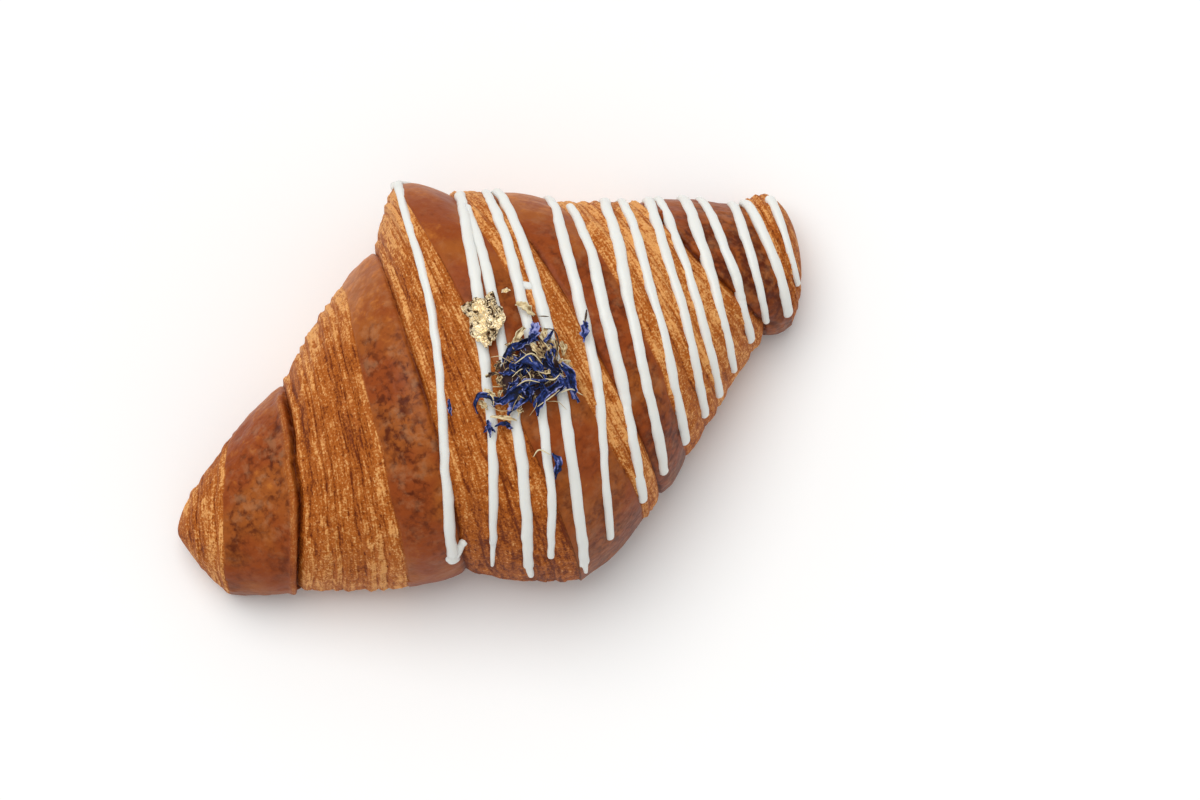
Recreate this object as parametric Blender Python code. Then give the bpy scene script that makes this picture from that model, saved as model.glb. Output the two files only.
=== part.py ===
"""Iced croissant with a heap of dried cornflower petals and a flake of gold leaf, at its real size.

Metres, +Z up. The roll of dough runs along X, its front side faces -Y, and its flat underside lies on z = 0.
"""

from math import pi

import bmesh
import bpy
import numpy as np
from mathutils import Matrix

MM = 0.001

# The rolled sheet of dough, in millimetres. Each row is an edge line that shows on the roll, from the left
# tip to the right tip: where it stands along X at the back, on top and in front, how far the roll reaches
# to the back and to the front there, and how high it is.
EDGE_LINES = (
    (-74.6, -74.6, -74.6, -1.3, -1.3, 8.0),
    (-54.4, -63.0, -69.6, 14.0, -16.7, 24.0),
    (-41.0, -45.8, -55.5, 19.2, -23.2, 31.0),
    (-20.3, -26.7, -33.5, 33.3, -33.0, 44.0),
    (-11.2, -14.8, -21.0, 37.2, -34.2, 47.0),
    (-2.0, 0.3, 0.8, 47.6, -47.0, 55.0),
    (8.0, 13.0, 18.5, 40.5, -39.5, 52.5),
    (15.3, 21.0, 24.0, 38.4, -36.0, 48.5),
    (28.5, 32.2, 32.5, 31.6, -31.0, 43.5),
    (45.5, 50.8, 60.0, 24.6, -12.6, 31.0),
    (66.0, 66.2, 66.4, 15.4, -12.0, 23.0),
    (75.0, 75.0, 75.0, 8.0, 8.0, 10.0),
)

# What lies between one line and the next: the glazed face of a wrap, or its cut edge with this many layers,
# and how far each swells out between its lines
FACE = 0
ZONES = (4, FACE, 7, FACE, 4, FACE, 2, FACE, 5, FACE, 3)
FACE_ROWS = 4
SWELLS = (0.7, 0.2, 0.7, 0.8, 0.7, 1.0, 0.7, 1.0, 0.7, 0.6, 0.5)
LAYER_STEP = 0.7
LIP_AT = 0.72
LAYER_MEAN = 0.4

# The two cracks, where a wrap has split from the cut edge above it: line number, the side its lip stands on,
# the turns round the roll, in degrees from the back, between which it gapes, and its size as a share of the
# depth and height that follow. Then how gently it closes, its depth in millimetres, half its width as a share
# of the zone, and the lip's height, place and half width.
CRACKS = ((2, -1, 50, 215, 1.0), (9, 1, 60, 115, 0.45))
CRACK_CLOSES = 25
CRACK_DEPTH = 1.5
CRACK_WIDTH = 0.035
LIP_HEIGHT = 0.7
LIP_PAST = 0.1
LIP_WIDTH = 0.055

# Slow waves of the dough, left by hand and oven: height in millimetres, length along the roll in millimetres
# for each radian, waves round the roll, and phase
DOUGH_WAVES = ((0.45, 7.3, 1.3, 0.0), (0.35, 11.9, -2.1, 1.7), (0.25, 4.1, 3.2, 0.6))

# Section of the roll: a dome on a flat base with round lower corners. The base is drawn this far below the
# floor and cut flat there, fully where half the roll's width is past the second size in millimetres and not
# before the first.
WIDEST_AT = 0.29
DOME_POWER = 2.2
BASE_POWER = 3.0
BASE_SINK = 0.9
SINK_HALVES = (4.0, 10.0)

# Relief fades out under the roll between these two values of the sine of the turn, and towards the tips where
# half the roll's width falls below this many millimetres
RELIEF_FROM = -0.85
RELIEF_FULL = -0.35
RELIEF_HALF = 6.0

# How blunt the left and the right tip are, how round they are underneath, and over which share of the last
# zone the relief dies away
TIP_BLUNTNESS = (0.2, 0.6)
TIP_UNDER = 1.6
TIP_FADE = 0.3

# Steps in which a place on the skin is found from its place on the plan, and the same for a line of icing
SKIN_STEPS = 12
LINE_STEPS = 8

# The skin's grid: columns over the dome and under it, extra rows beside a crack and by the tips, as shares of
# the zone, and the least distance between two rows
TOP_COLUMNS = 24
BASE_COLUMNS = 10
CRACK_ROWS = (-0.04, 0.0, 0.045, 0.1, 0.17)
TIP_ROWS = (0.012, 0.05, 0.11)
ROW_GAP = 0.03

# Icing piped across the roll, in millimetres. Each row: where the line stands along X at the back edge,
# midway and at the front edge, and the turns round the roll, in degrees from the back, where it starts
# and ends.
ICING_LINES = (
    (-0.2, -10.9, -23.2, 2, 160),
    (10.4, -0.4, -15.8, 22, 152),
    (11.0, 3.7, -9.2, 36, 165),
    (16.4, 9.6, -4.8, 8, 158),
    (18.7, 13.8, 1.7, 8, 168),
    (28.0, 22.6, 10.1, 8, 166),
    (31.5, 27.3, 19.0, 31, 165),
    (39.2, 33.0, 25.5, 10, 164),
    (42.1, 38.7, 32.6, 6, 165),
    (47.8, 44.3, 39.7, 8, 164),
    (49.9, 47.8, 44.0, 6, 165),
    (55.2, 52.8, 49.1, 8, 164),
    (58.5, 57.6, 55.0, 8, 163),
    (64.6, 62.5, 60.2, 8, 162),
    (67.1, 67.1, 65.5, 10, 160),
    (72.4, 71.6, 69.9, 38, 152),
)

# How far each of these lines sways off its curve, in millimetres along X, at these places across the roll as
# shares of half its width from the middle, from back to front
SWAY_PLACES = (-0.8, -0.4, 0.0, 0.4, 0.8)
ICING_SWAYS = (
    (-0.7, 0.5, 0.2, -0.3, -0.3),
    (0.0, 0.5, -0.25, -0.2, 0.1),
    (-0.6, 0.2, -0.2, -0.15, 0.2),
    (-0.7, 0.0, 0.15, 0.2, 0.0),
    (-0.6, 0.0, 0.3, 0.3, 0.2),
    (-0.3, -0.8, -0.3, 0.7, -0.8),
    (-0.4, 0.5, -0.3, 0.0, 0.0),
    (-0.15, 0.4, -0.2, -0.2, 0.2),
    (0.0, 0.1, -0.3, 0.1, 0.0),
    (0.0, -0.2, 0.0, 0.35, -0.4),
    (0.0, -0.2, 0.1, 0.2, 0.0),
    (0.0, -0.25, 0.0, 0.3, 0.0),
    (0.0, -0.1, -0.3, 0.5, 0.2),
    (0.0, 0.0, 0.0, 0.0, 0.0),
    (0.0, 0.0, 0.0, 0.0, 0.0),
    (0.0, 0.0, 0.0, 0.0, 0.0),
)

ICING_HALF_WIDTH = 1.15
ICING_HALF_HEIGHT = 1.0
ICING_RAISED = 0.45
ICING_STEPS = 18
ICING_SIDES = 6

# How a line of icing varies: the share of the dough's carving that it follows, waves of its width along it as
# share of the width, number of radians and shift from line to line, and its ends' size and how far they reach
ICING_CARVED = 0.3
ICING_WAVES = ((0.12, 9, 1.7), (0.08, 23, 1.0))
ICING_END_SIZE = 0.7
ICING_END = 0.6

# How far the toppings stay clear of the dough, how much more they rise over a piped line, and the distances
# from its middle within which and beyond which that rise is full and none
NODE_GAP = 0.4
ICING_RISE = 1.8
ICING_CLEAR = (2.2, 3.4)

# The heap's core, in millimetres: its middle on the plan, mean radius, thickness at the rim and of the dome,
# and its bumps' height and their waves along X and Y, in radians for each millimetre with their phase
HEAP_CENTRE = (6.0, -8.2)
HEAP_RADIUS = 8.4
HEAP_RIM = 0.5
HEAP_DOME = 2.4
HEAP_BUMP = 0.5
HEAP_BUMP_WAVES = ((1.3, 0.0), (1.1, 0.5))
HEAP_RINGS = 5
HEAP_COLUMNS = 22

# Waves of the heap's outline: share of the radius, waves round it, phase
HEAP_WAVES = ((0.13, 2, 0.8), (0.09, 5, 2.0))

# Its petals, in millimetres and radians. They are spread over this share of the core like seeds in a flower
# head, point outwards the more strictly the nearer they are to its rim, are rooted at this share of its
# thickness, and climb away from it and curl over within these ranges. The two powers shape a petal's outline.
PETALS = 26
PETAL_SPREAD = 0.8
PETAL_TURN = 2.4
PETAL_OUTWARD = 2.5
PETAL_OUTLINE = (0.8, 0.7)
PETAL_ROOT = 0.5
PETAL_CLIMB = (0.15, 0.6)
PETAL_CURL = (0.4, 1.0)
PETAL_LENGTH = (4.5, 7.5)
PETAL_HALF_WIDTH = (0.6, 1.1)
PETAL_HALF_THICK = 0.32
PETAL_RINGS = 4

# Petals that lie on the dough by themselves: place of the root on the plan, heading in degrees
STRAY_PETALS = ((20.0, -6.0, 70), (2.4, -30.0, 80))
STRAY_LENGTH = 6.0
STRAY_HALF_WIDTH = 1.0

# The flake of gold leaf, in millimetres: its middle on the plan and its size; how far its narrow front end
# leans to the left; where along its length, from -1 in front to 1 at the back, it is widest, and how much it
# tapers from there; how far its ends bow; its thickness, the height of its crumples, and its grid
GOLD_CENTRE = (2.7, 6.1)
GOLD_SIZE = (8.0, 10.2)
GOLD_LEAN = 1.8
GOLD_WIDEST = 0.3
GOLD_TAPER = 0.9
GOLD_BOW = 0.15
GOLD_THICK = 0.25
GOLD_CRUMPLE = 0.35
GOLD_CELLS = 9

# Its ragged outline: waves as share of its size, radians across and along it, and phase. Its crumples: two
# crossing waves, in radians for each millimetre of X and of Y.
GOLD_RAGGED = ((0.1, 3.1, 4.0, 0.0), (0.07, 7.0, -5.0, 1.0))
GOLD_WAVES = ((2.3, 1.1), (-0.9, 1.7))

# Colours as sRGB bytes, with roughness and metallic value
FINISHES = {
    "croissant": ((0xA6, 0x5E, 0x30), 0.45, 0.0),
    "cornflower_petals": ((0x3A, 0x3F, 0x8C), 0.8, 0.0),
    "gold_leaf": ((0xD9, 0xB8, 0x70), 0.3, 1.0),
}


def edge_lines_at(turn):
    """Each line's place along X at this turn round the roll: a parabola through its back, top and front."""
    back, top, front = np.array(EDGE_LINES)[:, :3].T.reshape(3, -1, *[1] * np.ndim(turn))
    side = np.cos(turn)
    return top + (back - front) / 2 * side + ((back + front) / 2 - top) * side**2


def wrap_at(x, turn):
    """The wrap coordinate at this place: the number of lines passed, and the share of the way to the next."""
    lines = edge_lines_at(turn)
    return sum(np.clip((x - a) / (b - a), 0, 1) for a, b in zip(lines[:-1], lines[1:]))


def gape(turn, start, end):
    """How far a crack is open at this turn: fully between start and end, closing evenly beyond them."""
    degrees = np.degrees(turn)
    return np.clip(np.minimum(degrees - start, end - degrees) / CRACK_CLOSES + 1, 0, 1)


def relief(wrap, turn, carved):
    """How far the skin stands out: swollen zones and, carved in them, stepped layers, cracks and lips."""
    zone = np.clip(wrap.astype(int), 0, len(ZONES) - 1)
    share = wrap - zone
    layers = np.array(ZONES)[zone]
    swell = np.array(SWELLS)[zone] * np.sin(pi * share)
    outward = np.where(zone < len(ZONES) / 2, 1 - share, share)
    step = (outward * layers) % 1.0
    layer = np.where(step < LIP_AT, step / LIP_AT, (1 - step) / (1 - LIP_AT)) - LAYER_MEAN
    cuts = np.where(layers == FACE, 0, LAYER_STEP * layer)
    for line, side, start, end, size in CRACKS:
        past = (wrap - line) * side
        crack = LIP_HEIGHT * np.exp(-(((past - LIP_PAST) / LIP_WIDTH) ** 2))
        crack = crack - CRACK_DEPTH * np.exp(-((past / CRACK_WIDTH) ** 2))
        cuts = cuts + size * crack * gape(turn, start, end)
    ends = np.clip(np.minimum(wrap, len(ZONES) - wrap) / TIP_FADE, 0, 1)
    return (swell + carved * cuts) * ends


def unevenness(x, turn):
    """The slow swell and dip of the dough: crossing waves of different lengths."""
    return sum(high * np.sin(x / far + around * turn + phase) for high, far, around, phase in DOUGH_WAVES)


def section_at(wrap):
    """Middle, half width, lowest and highest level of the roll, which closes to a rounded point at a tip."""
    numbers = np.arange(len(EDGE_LINES))
    back, front, high = (np.interp(wrap, numbers, column) for column in np.array(EDGE_LINES).T[3:])
    last = len(ZONES)
    middle, half = (back + front) / 2, (back - front) / 2
    low = np.zeros_like(middle)
    for tip, ring, blunt in ((0, 1, TIP_BLUNTNESS[0]), (last, last - 1, TIP_BLUNTNESS[1])):
        share = np.clip(np.abs(wrap - tip), 0, 1)
        near = share < 1
        cap = (1 - blunt) * share + blunt * np.sqrt(1 - (1 - share) ** 4)
        ring_half = (EDGE_LINES[ring][3] - EDGE_LINES[ring][4]) / 2
        level = EDGE_LINES[tip][5]
        half = np.where(near, ring_half * cap, half)
        high = np.where(near, level + (EDGE_LINES[ring][5] - level) * cap, high)
        low = np.where(near, level * (1 - cap) ** TIP_UNDER, low)
    return middle, half, low, high


def roll_point(wrap, turn, carved=1.0):
    """A point of the skin, in mm: a superellipse dome over a squarer base, pushed out by the relief."""
    wrap, turn = np.broadcast_arrays(np.asarray(wrap, float), np.asarray(turn, float))
    lines = edge_lines_at(turn)
    zone = np.clip(wrap.astype(int), 0, len(ZONES) - 1)
    share = wrap - zone
    before = np.take_along_axis(lines, zone[None], 0)[0]
    after = np.take_along_axis(lines, zone[None] + 1, 0)[0]
    x = before + (after - before) * share
    middle, half, low, high = section_at(wrap)
    side, rise = np.cos(turn), np.sin(turn)
    power = np.where(rise >= 0, DOME_POWER, BASE_POWER)
    widest = low + WIDEST_AT * (high - low)
    across = np.sign(side) * np.abs(side) ** (2 / power)
    up = np.abs(rise) ** (2 / power)
    sink = BASE_SINK * np.clip((half - SINK_HALVES[0]) / (SINK_HALVES[1] - SINK_HALVES[0]), 0, 1)
    dome = widest + (high - widest) * up
    bowl = np.maximum(widest - (widest - low + sink) * up, low)
    fade = np.clip((rise - RELIEF_FROM) / (RELIEF_FULL - RELIEF_FROM), 0, 1)
    fade = fade * np.clip(half / RELIEF_HALF, 0, 1)
    out = (relief(wrap, turn, carved) + unevenness(x, turn)) * fade
    y = middle + half * across + out * side
    z = np.where(rise >= 0, dome + out * rise, np.maximum(bowl + out * rise, low))
    return np.stack([x, y, z], axis=-1)


def turn_at(x, y):
    """The turn round the roll of the point of its upper skin at this place on the plan, found in steps."""
    turn = np.full(np.broadcast(x, y).shape, pi / 2)
    for _ in range(SKIN_STEPS):
        middle, half, _low, _high = section_at(wrap_at(x, turn))
        off = np.clip((y - middle) / half, -1, 1)
        turn = np.arccos(np.sign(off) * np.abs(off) ** (DOME_POWER / 2))
    return turn


def top_height(x, y):
    """Height of the dough under a place on the plan, in mm."""
    x, y = np.broadcast_arrays(np.asarray(x, float), np.asarray(y, float))
    turn = turn_at(x, y)
    return roll_point(wrap_at(x, turn), turn)[..., 2]


def wrap_rows():
    """Rows of the skin's grid: two for each layer of a cut edge, even ones on a face, more beside a crack."""
    rows = []
    for zone, layers in enumerate(ZONES):
        if layers == FACE:
            rows += [zone + i / FACE_ROWS for i in range(FACE_ROWS)]
            continue
        steps = [(i + part) / layers for i in range(layers) for part in (0, LIP_AT)]
        flip = zone < len(ZONES) / 2
        rows += [zone + ((1 - s) if flip and s else 1 if flip else s) for s in steps]
    for line, side, _start, _end, _size in CRACKS:
        rows += [line + side * share for share in CRACK_ROWS]
    for tip, inward in ((0, 1), (len(ZONES), -1)):
        rows += [tip + inward * share for share in TIP_ROWS]
    rows = sorted(row for row in rows if 0 < row < len(ZONES))
    kept = rows[:1]
    for row in rows[1:]:
        if row - kept[-1] > ROW_GAP:
            kept.append(row)
    return np.array(kept)


def add_object(name, points, faces):
    """A closed mesh from points in mm, as one object with its own material."""
    mesh = bpy.data.meshes.new(name)
    mesh.from_pydata((np.asarray(points) * MM).tolist(), [], [tuple(int(i) for i in face) for face in faces])
    mesh.validate()
    made = bpy.data.objects.new(name, mesh)
    bpy.context.scene.collection.objects.link(made)
    return made


def tube_faces(rings, sides):
    """Quads between neighbouring rings of a tube, then a fan to a last point at each end."""
    ring, side = np.meshgrid(np.arange(rings - 1), np.arange(sides), indexing="ij")
    a, b = ring * sides + side, ring * sides + (side + 1) % sides
    faces = np.stack([a, b, b + sides, a + sides], axis=-1).reshape(-1, 4).tolist()
    first, last = rings * sides, rings * sides + 1
    end = (rings - 1) * sides
    for i in range(sides):
        j = (i + 1) % sides
        faces.append((first, j, i))
        faces.append((last, end + i, end + j))
    return faces


def build_roll():
    """The roll of dough: rings along the wrap coordinate, closed to a point at both tips."""
    rows = wrap_rows()
    top = np.linspace(0, pi, TOP_COLUMNS, endpoint=False)
    base = np.linspace(pi, 2 * pi, BASE_COLUMNS, endpoint=False)
    turns = np.concatenate([top, base])
    points = roll_point(rows[:, None], turns[None]).reshape(-1, 3)
    tips = [(line[0], line[3], line[5]) for line in (EDGE_LINES[0], EDGE_LINES[-1])]
    return add_object("croissant", np.vstack([points, tips]), tube_faces(len(rows), len(turns)))


def icing_path(number):
    """Points along a piped line, with the outward direction: X sways off a parabola through its places."""
    at_back, at_middle, at_front, start, end = ICING_LINES[number]
    turn = np.radians(np.linspace(start, end, ICING_STEPS))
    x = np.full(ICING_STEPS, float(at_middle))
    for _ in range(LINE_STEPS):
        wrap = wrap_at(x, turn)
        middle, half, _low, _high = section_at(wrap)
        y = roll_point(wrap, turn, carved=0)[:, 1]
        lean = np.clip((y - middle) / half, -1, 1)
        x = at_middle + (at_back - at_front) / 2 * lean + ((at_back + at_front) / 2 - at_middle) * lean**2
        x = x + np.interp(-lean, SWAY_PLACES, ICING_SWAYS[number])
    wrap = wrap_at(x, turn)
    points = roll_point(wrap, turn, ICING_CARVED)
    small = 0.01
    around = roll_point(wrap, turn + small, carved=0) - roll_point(wrap, turn - small, carved=0)
    along = roll_point(wrap + small, turn, carved=0) - roll_point(wrap - small, turn, carved=0)
    outward = np.cross(along, around)
    return points, outward / np.linalg.norm(outward, axis=1)[:, None]


def build_icing(number):
    """A piped line: a low oval tube half sunk in the dough, uneven in width and rounded off at its ends."""
    points, outward = icing_path(number)
    run = np.gradient(points, axis=0)
    run /= np.linalg.norm(run, axis=1)[:, None]
    across = np.cross(outward, run)
    place = np.linspace(0, 1, ICING_STEPS)
    size = 1 + sum(share * np.sin(radians * place + shift * number) for share, radians, shift in ICING_WAVES)
    size[0] = size[-1] = ICING_END_SIZE
    around = np.arange(ICING_SIDES) * 2 * pi / ICING_SIDES + pi / 2
    centre = points + ICING_RAISED * outward
    ring = (
        centre[:, None]
        + (np.cos(around)[None, :, None] * across[:, None] * ICING_HALF_WIDTH) * size[:, None, None]
        + (np.sin(around)[None, :, None] * outward[:, None] * ICING_HALF_HEIGHT) * size[:, None, None]
    )
    ends = [centre[0] - ICING_END * run[0], centre[-1] + ICING_END * run[-1]]
    faces = tube_faces(ICING_STEPS, ICING_SIDES)
    return add_object(f"icing_{number}", np.vstack([ring.reshape(-1, 3), ends]), faces)


def icing_plan():
    """All piped lines as one cloud of points on the plan, close enough together to measure distances to."""
    paths = [icing_path(number)[0][:, :2] for number in range(len(ICING_LINES))]
    fine = np.linspace(0, ICING_STEPS - 1, 6 * ICING_STEPS)
    coarse = np.arange(ICING_STEPS)
    clouds = [[np.interp(fine, coarse, path[:, i]) for i in (0, 1)] for path in paths]
    return np.array(clouds).transpose(0, 2, 1).reshape(-1, 2)


ICING_POINTS = icing_plan()


def clear_level(x, y):
    """The lowest level for a topping: a gap over the dough, raised to a gap over each piped line beneath."""
    x, y = np.broadcast_arrays(np.asarray(x, float), np.asarray(y, float))
    away = np.min(np.hypot(x[..., None] - ICING_POINTS[:, 0], y[..., None] - ICING_POINTS[:, 1]), axis=-1)
    near, far = ICING_CLEAR
    return top_height(x, y) + NODE_GAP + ICING_RISE * np.clip((far - away) / (far - near), 0, 1)


def blade(root, heading, climb, length, half_width, curl):
    """A dried petal in mm: a thin lens section carried along a curling line, widest past its middle."""
    parts = PETAL_RINGS + 1
    share = np.arange(1, parts) / parts
    pitch = climb - curl * share
    run = np.stack([np.cos(pitch) * np.cos(heading), np.cos(pitch) * np.sin(heading), np.sin(pitch)], axis=1)
    spine = np.asarray(root) + np.cumsum(run, axis=0) * length / parts
    side = np.array([-np.sin(heading), np.cos(heading), 0.0])
    up = np.cross(run, side)
    place, fullness = PETAL_OUTLINE
    width = half_width * np.sin(pi * share**place) ** fullness
    ring = [
        spine + side * width[:, None],
        spine + up * PETAL_HALF_THICK,
        spine - side * width[:, None],
        spine - up * PETAL_HALF_THICK,
    ]
    ends = [spine[0] - run[0] * length / parts, spine[-1] + run[-1] * length / parts]
    return np.stack(ring, axis=1), ends


def add_blade(name, ring, ends):
    """A petal as its own closed mesh, with its faces pointing out."""
    return add_object(name, np.vstack([ring.reshape(-1, 3), ends]), tube_faces(len(ring), 4))


def laid_clear(ring, ends):
    """The petal with each ring past its root raised until it clears the dough and the icing under it."""
    short = np.max(clear_level(ring[..., 0], ring[..., 1]) - ring[..., 2], axis=1)
    rise = np.clip(short, 0, None)
    return ring + rise[:, None, None] * (0, 0, 1), [ends[0], ends[1] + (0, 0, rise[-1])]


def heap_place(angle, share):
    """A place on the plan at this share of the way from the heap's middle to its uneven outline."""
    waves = sum(part * np.sin(times * angle + phase) for part, times, phase in HEAP_WAVES)
    outline = HEAP_RADIUS * (1 + waves)
    return HEAP_CENTRE[0] + share * outline * np.cos(angle), HEAP_CENTRE[1] + share * outline * np.sin(angle)


def heap_thickness(x, y, share):
    """Thickness of the heap's core: a bumpy dome over a thin rim."""
    (along, start), (across, shift) = HEAP_BUMP_WAVES
    bump = HEAP_BUMP * np.sin(x * along + start) * np.sin(y * across + shift)
    return HEAP_RIM + (HEAP_DOME + bump) * np.sqrt(np.clip(1 - share**2, 0, 1))


def build_heap():
    """The petal heap: a low domed core with an uneven outline, and petals that stick out of it all round."""
    random = np.random.default_rng(7)
    column = np.arange(HEAP_COLUMNS) * 2 * pi / HEAP_COLUMNS
    share = np.arange(1, HEAP_RINGS + 1)[:, None] / HEAP_RINGS
    x, y = heap_place(column, share)
    under = clear_level(x, y)
    lower = np.stack([x, y, under], axis=-1)
    upper = np.stack([x, y, under + heap_thickness(x, y, share)], axis=-1)
    rings = np.concatenate([lower, upper[::-1]])
    cx, cy = HEAP_CENTRE
    middle = float(clear_level(cx, cy))
    points = np.vstack([rings.reshape(-1, 3), (cx, cy, middle), (cx, cy, middle + HEAP_RIM + HEAP_DOME)])
    core = add_object("cornflower_petals", points, tube_faces(2 * HEAP_RINGS, HEAP_COLUMNS))
    pieces = []
    for number in range(PETALS):
        spread = PETAL_SPREAD * np.sqrt((number + 0.5) / PETALS)
        angle = number * PETAL_TURN
        px, py = heap_place(angle, spread)
        thickness = heap_thickness(px, py, spread)
        root = (px, py, float(clear_level(px, py)) + PETAL_ROOT * thickness)
        heading = angle + random.uniform(-1, 1) * (pi - PETAL_OUTWARD * spread)
        ring, ends = blade(
            root,
            heading,
            random.uniform(*PETAL_CLIMB),
            random.uniform(*PETAL_LENGTH),
            random.uniform(*PETAL_HALF_WIDTH),
            random.uniform(*PETAL_CURL),
        )
        pieces.append(add_blade(f"petal_{number}", *laid_clear(ring, ends)))
    fuse(core, pieces)
    return core


def build_strays():
    """Single petals that lie on the dough away from the heap, each a little sunk so that it holds."""
    pieces = []
    for number, (x, y, heading) in enumerate(STRAY_PETALS):
        heading = np.radians(heading)
        far_x, far_y = x + STRAY_LENGTH * np.cos(heading), y + STRAY_LENGTH * np.sin(heading)
        near, far = float(top_height(x, y)), float(top_height(far_x, far_y))
        slope = np.arctan2(far - near, STRAY_LENGTH)
        ring, ends = blade((x, y, near), heading, slope, STRAY_LENGTH, STRAY_HALF_WIDTH, 0.0)
        pieces.append(add_blade(f"stray_{number}", ring, ends))
    return pieces


def build_gold():
    """The flake of gold leaf: a crumpled sheet draped over dough and icing, both faces split alike."""
    share = np.linspace(-1, 1, GOLD_CELLS)
    u, v = np.meshgrid(share, share, indexing="ij")
    ragged = 1 + sum(part * np.sin(over * u + along * v + phase) for part, over, along, phase in GOLD_RAGGED)
    taper = np.sqrt(1 - GOLD_TAPER * ((v - GOLD_WIDEST) / (1 + GOLD_WIDEST)) ** 2)
    x = GOLD_CENTRE[0] + GOLD_SIZE[0] / 2 * u * ragged * taper - GOLD_LEAN * ((1 - v) / 2) ** 3
    y = GOLD_CENTRE[1] + GOLD_SIZE[1] / 2 * v * ragged * np.sqrt(1 - GOLD_BOW * u**2)
    first, second = (np.sin(along * x + across * y) for along, across in GOLD_WAVES)
    crumple = GOLD_CRUMPLE * (1 + first * second)
    z = clear_level(x, y) + LAYER_STEP / 2 + crumple
    low = np.stack([x, y, z], axis=-1).reshape(-1, 3)
    high = low + (0, 0, GOLD_THICK)
    n = GOLD_CELLS
    i, j = np.meshgrid(np.arange(n - 1), np.arange(n - 1), indexing="ij")
    a = (i * n + j).ravel()
    b, c, d = a + n, a + n + 1, a + 1
    split = np.vstack([np.stack([a, b, c], axis=1), np.stack([a, c, d], axis=1)])
    rim = [k * n for k in range(n - 1)] + [(n - 1) * n + k for k in range(n - 1)]
    rim += [k * n + n - 1 for k in range(n - 1, 0, -1)] + list(range(n - 1, 0, -1))
    count = n * n
    walls = [(p, q, q + count, p + count) for p, q in zip(rim, rim[1:] + rim[:1])]
    faces = (split + count).tolist() + split[:, ::-1].tolist() + walls
    return add_object("gold_leaf", np.vstack([low, high]), faces)


def keep_one_body(mesh):
    """Splits the faces into triangles and keeps only the largest shell: no scrap and no sealed hollow."""
    shell = bmesh.new()
    shell.from_mesh(mesh)
    bmesh.ops.triangulate(shell, faces=shell.faces)
    left = set(shell.verts)
    groups = []
    while left:
        waiting = [left.pop()]
        group = []
        while waiting:
            point = waiting.pop()
            group.append(point)
            for edge in point.link_edges:
                other = edge.other_vert(point)
                if other in left:
                    left.discard(other)
                    waiting.append(other)
        groups.append(group)
    groups.sort(key=len)
    for group in groups[:-1]:
        bmesh.ops.delete(shell, geom=group, context="VERTS")
    shell.to_mesh(mesh)
    shell.free()


def fuse(body, pieces):
    """Joins the pieces to the body with one union, applies it and removes the pieces."""
    group = bpy.data.collections.new(f"{body.name}_pieces")
    for piece in pieces:
        group.objects.link(piece)
    union = body.modifiers.new("fused", "BOOLEAN")
    union.operation = "UNION"
    union.operand_type = "COLLECTION"
    union.collection = group
    union.solver = "EXACT"
    depsgraph = bpy.context.evaluated_depsgraph_get()
    joined = bpy.data.meshes.new_from_object(body.evaluated_get(depsgraph))
    keep_one_body(joined)
    body.modifiers.clear()
    body.data = joined
    for piece in pieces:
        bpy.data.objects.remove(piece)
    bpy.data.collections.remove(group)


def stand_on_origin(pieces):
    """Moves every piece alike, so that the middle of the roll's box is over the origin."""
    corners = np.array(pieces[0].bound_box)
    middle = (corners.min(axis=0) + corners.max(axis=0)) / 2
    for piece in pieces:
        piece.data.transform(Matrix.Translation((-middle[0], -middle[1], 0.0)))


def give_finish(made):
    """A plain Principled BSDF in the piece's colour."""
    colour, roughness, metallic = FINISHES[made.name]
    share = np.array(colour) / 255
    linear = np.where(share <= 0.04045, share / 12.92, ((share + 0.055) / 1.055) ** 2.4)
    finish = bpy.data.materials.new(made.name)
    finish.use_nodes = True
    shader = finish.node_tree.nodes["Principled BSDF"]
    shader.inputs["Base Color"].default_value = (*linear.tolist(), 1.0)
    shader.inputs["Roughness"].default_value = roughness
    shader.inputs["Metallic"].default_value = metallic
    made.data.materials.clear()
    made.data.materials.append(finish)


def main():
    for old in list(bpy.data.objects):
        bpy.data.objects.remove(old)
    croissant = build_roll()
    lines = [build_icing(number) for number in range(len(ICING_LINES))]
    fuse(croissant, lines + build_strays())
    pieces = (croissant, build_heap(), build_gold())
    stand_on_origin(pieces)
    for made in pieces:
        give_finish(made)


main()
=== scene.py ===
"""Looks of an iced croissant with dried cornflower petals and gold leaf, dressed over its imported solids.

Shapes are worked out in millimetres and turned to metres where a mesh is made.
"""

from functools import partial
from math import pi, radians

import bpy
import numpy as np
from mathutils import Matrix


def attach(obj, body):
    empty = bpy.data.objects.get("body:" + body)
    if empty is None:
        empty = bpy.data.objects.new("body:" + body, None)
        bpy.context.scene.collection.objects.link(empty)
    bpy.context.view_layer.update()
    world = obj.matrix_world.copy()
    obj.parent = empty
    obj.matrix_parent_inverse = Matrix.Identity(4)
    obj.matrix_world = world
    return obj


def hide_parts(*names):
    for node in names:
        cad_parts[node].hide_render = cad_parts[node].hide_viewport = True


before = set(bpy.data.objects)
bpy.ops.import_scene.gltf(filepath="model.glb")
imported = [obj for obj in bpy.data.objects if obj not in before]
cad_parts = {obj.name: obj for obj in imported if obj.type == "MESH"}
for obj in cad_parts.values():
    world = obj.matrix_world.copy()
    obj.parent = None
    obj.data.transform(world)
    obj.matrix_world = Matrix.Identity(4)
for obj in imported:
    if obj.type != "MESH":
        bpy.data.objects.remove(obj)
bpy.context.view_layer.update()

bl_info = {
    "name": "Iced croissant",
    "version": (1, 0, 0),
    "blender": (4, 5, 0),
    "location": "3D View > Sidebar > Croissant",
    "description": "Bakes, ices and decorates one laminated croissant and sets its stage",
    "category": "Add Mesh",
}

MM = 0.001

# The solid's origin: how far the roll was moved so that its box stands centred over it, in millimetres
ORIGIN_SHIFT = (-0.2, -0.5732, 0.0)

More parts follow.
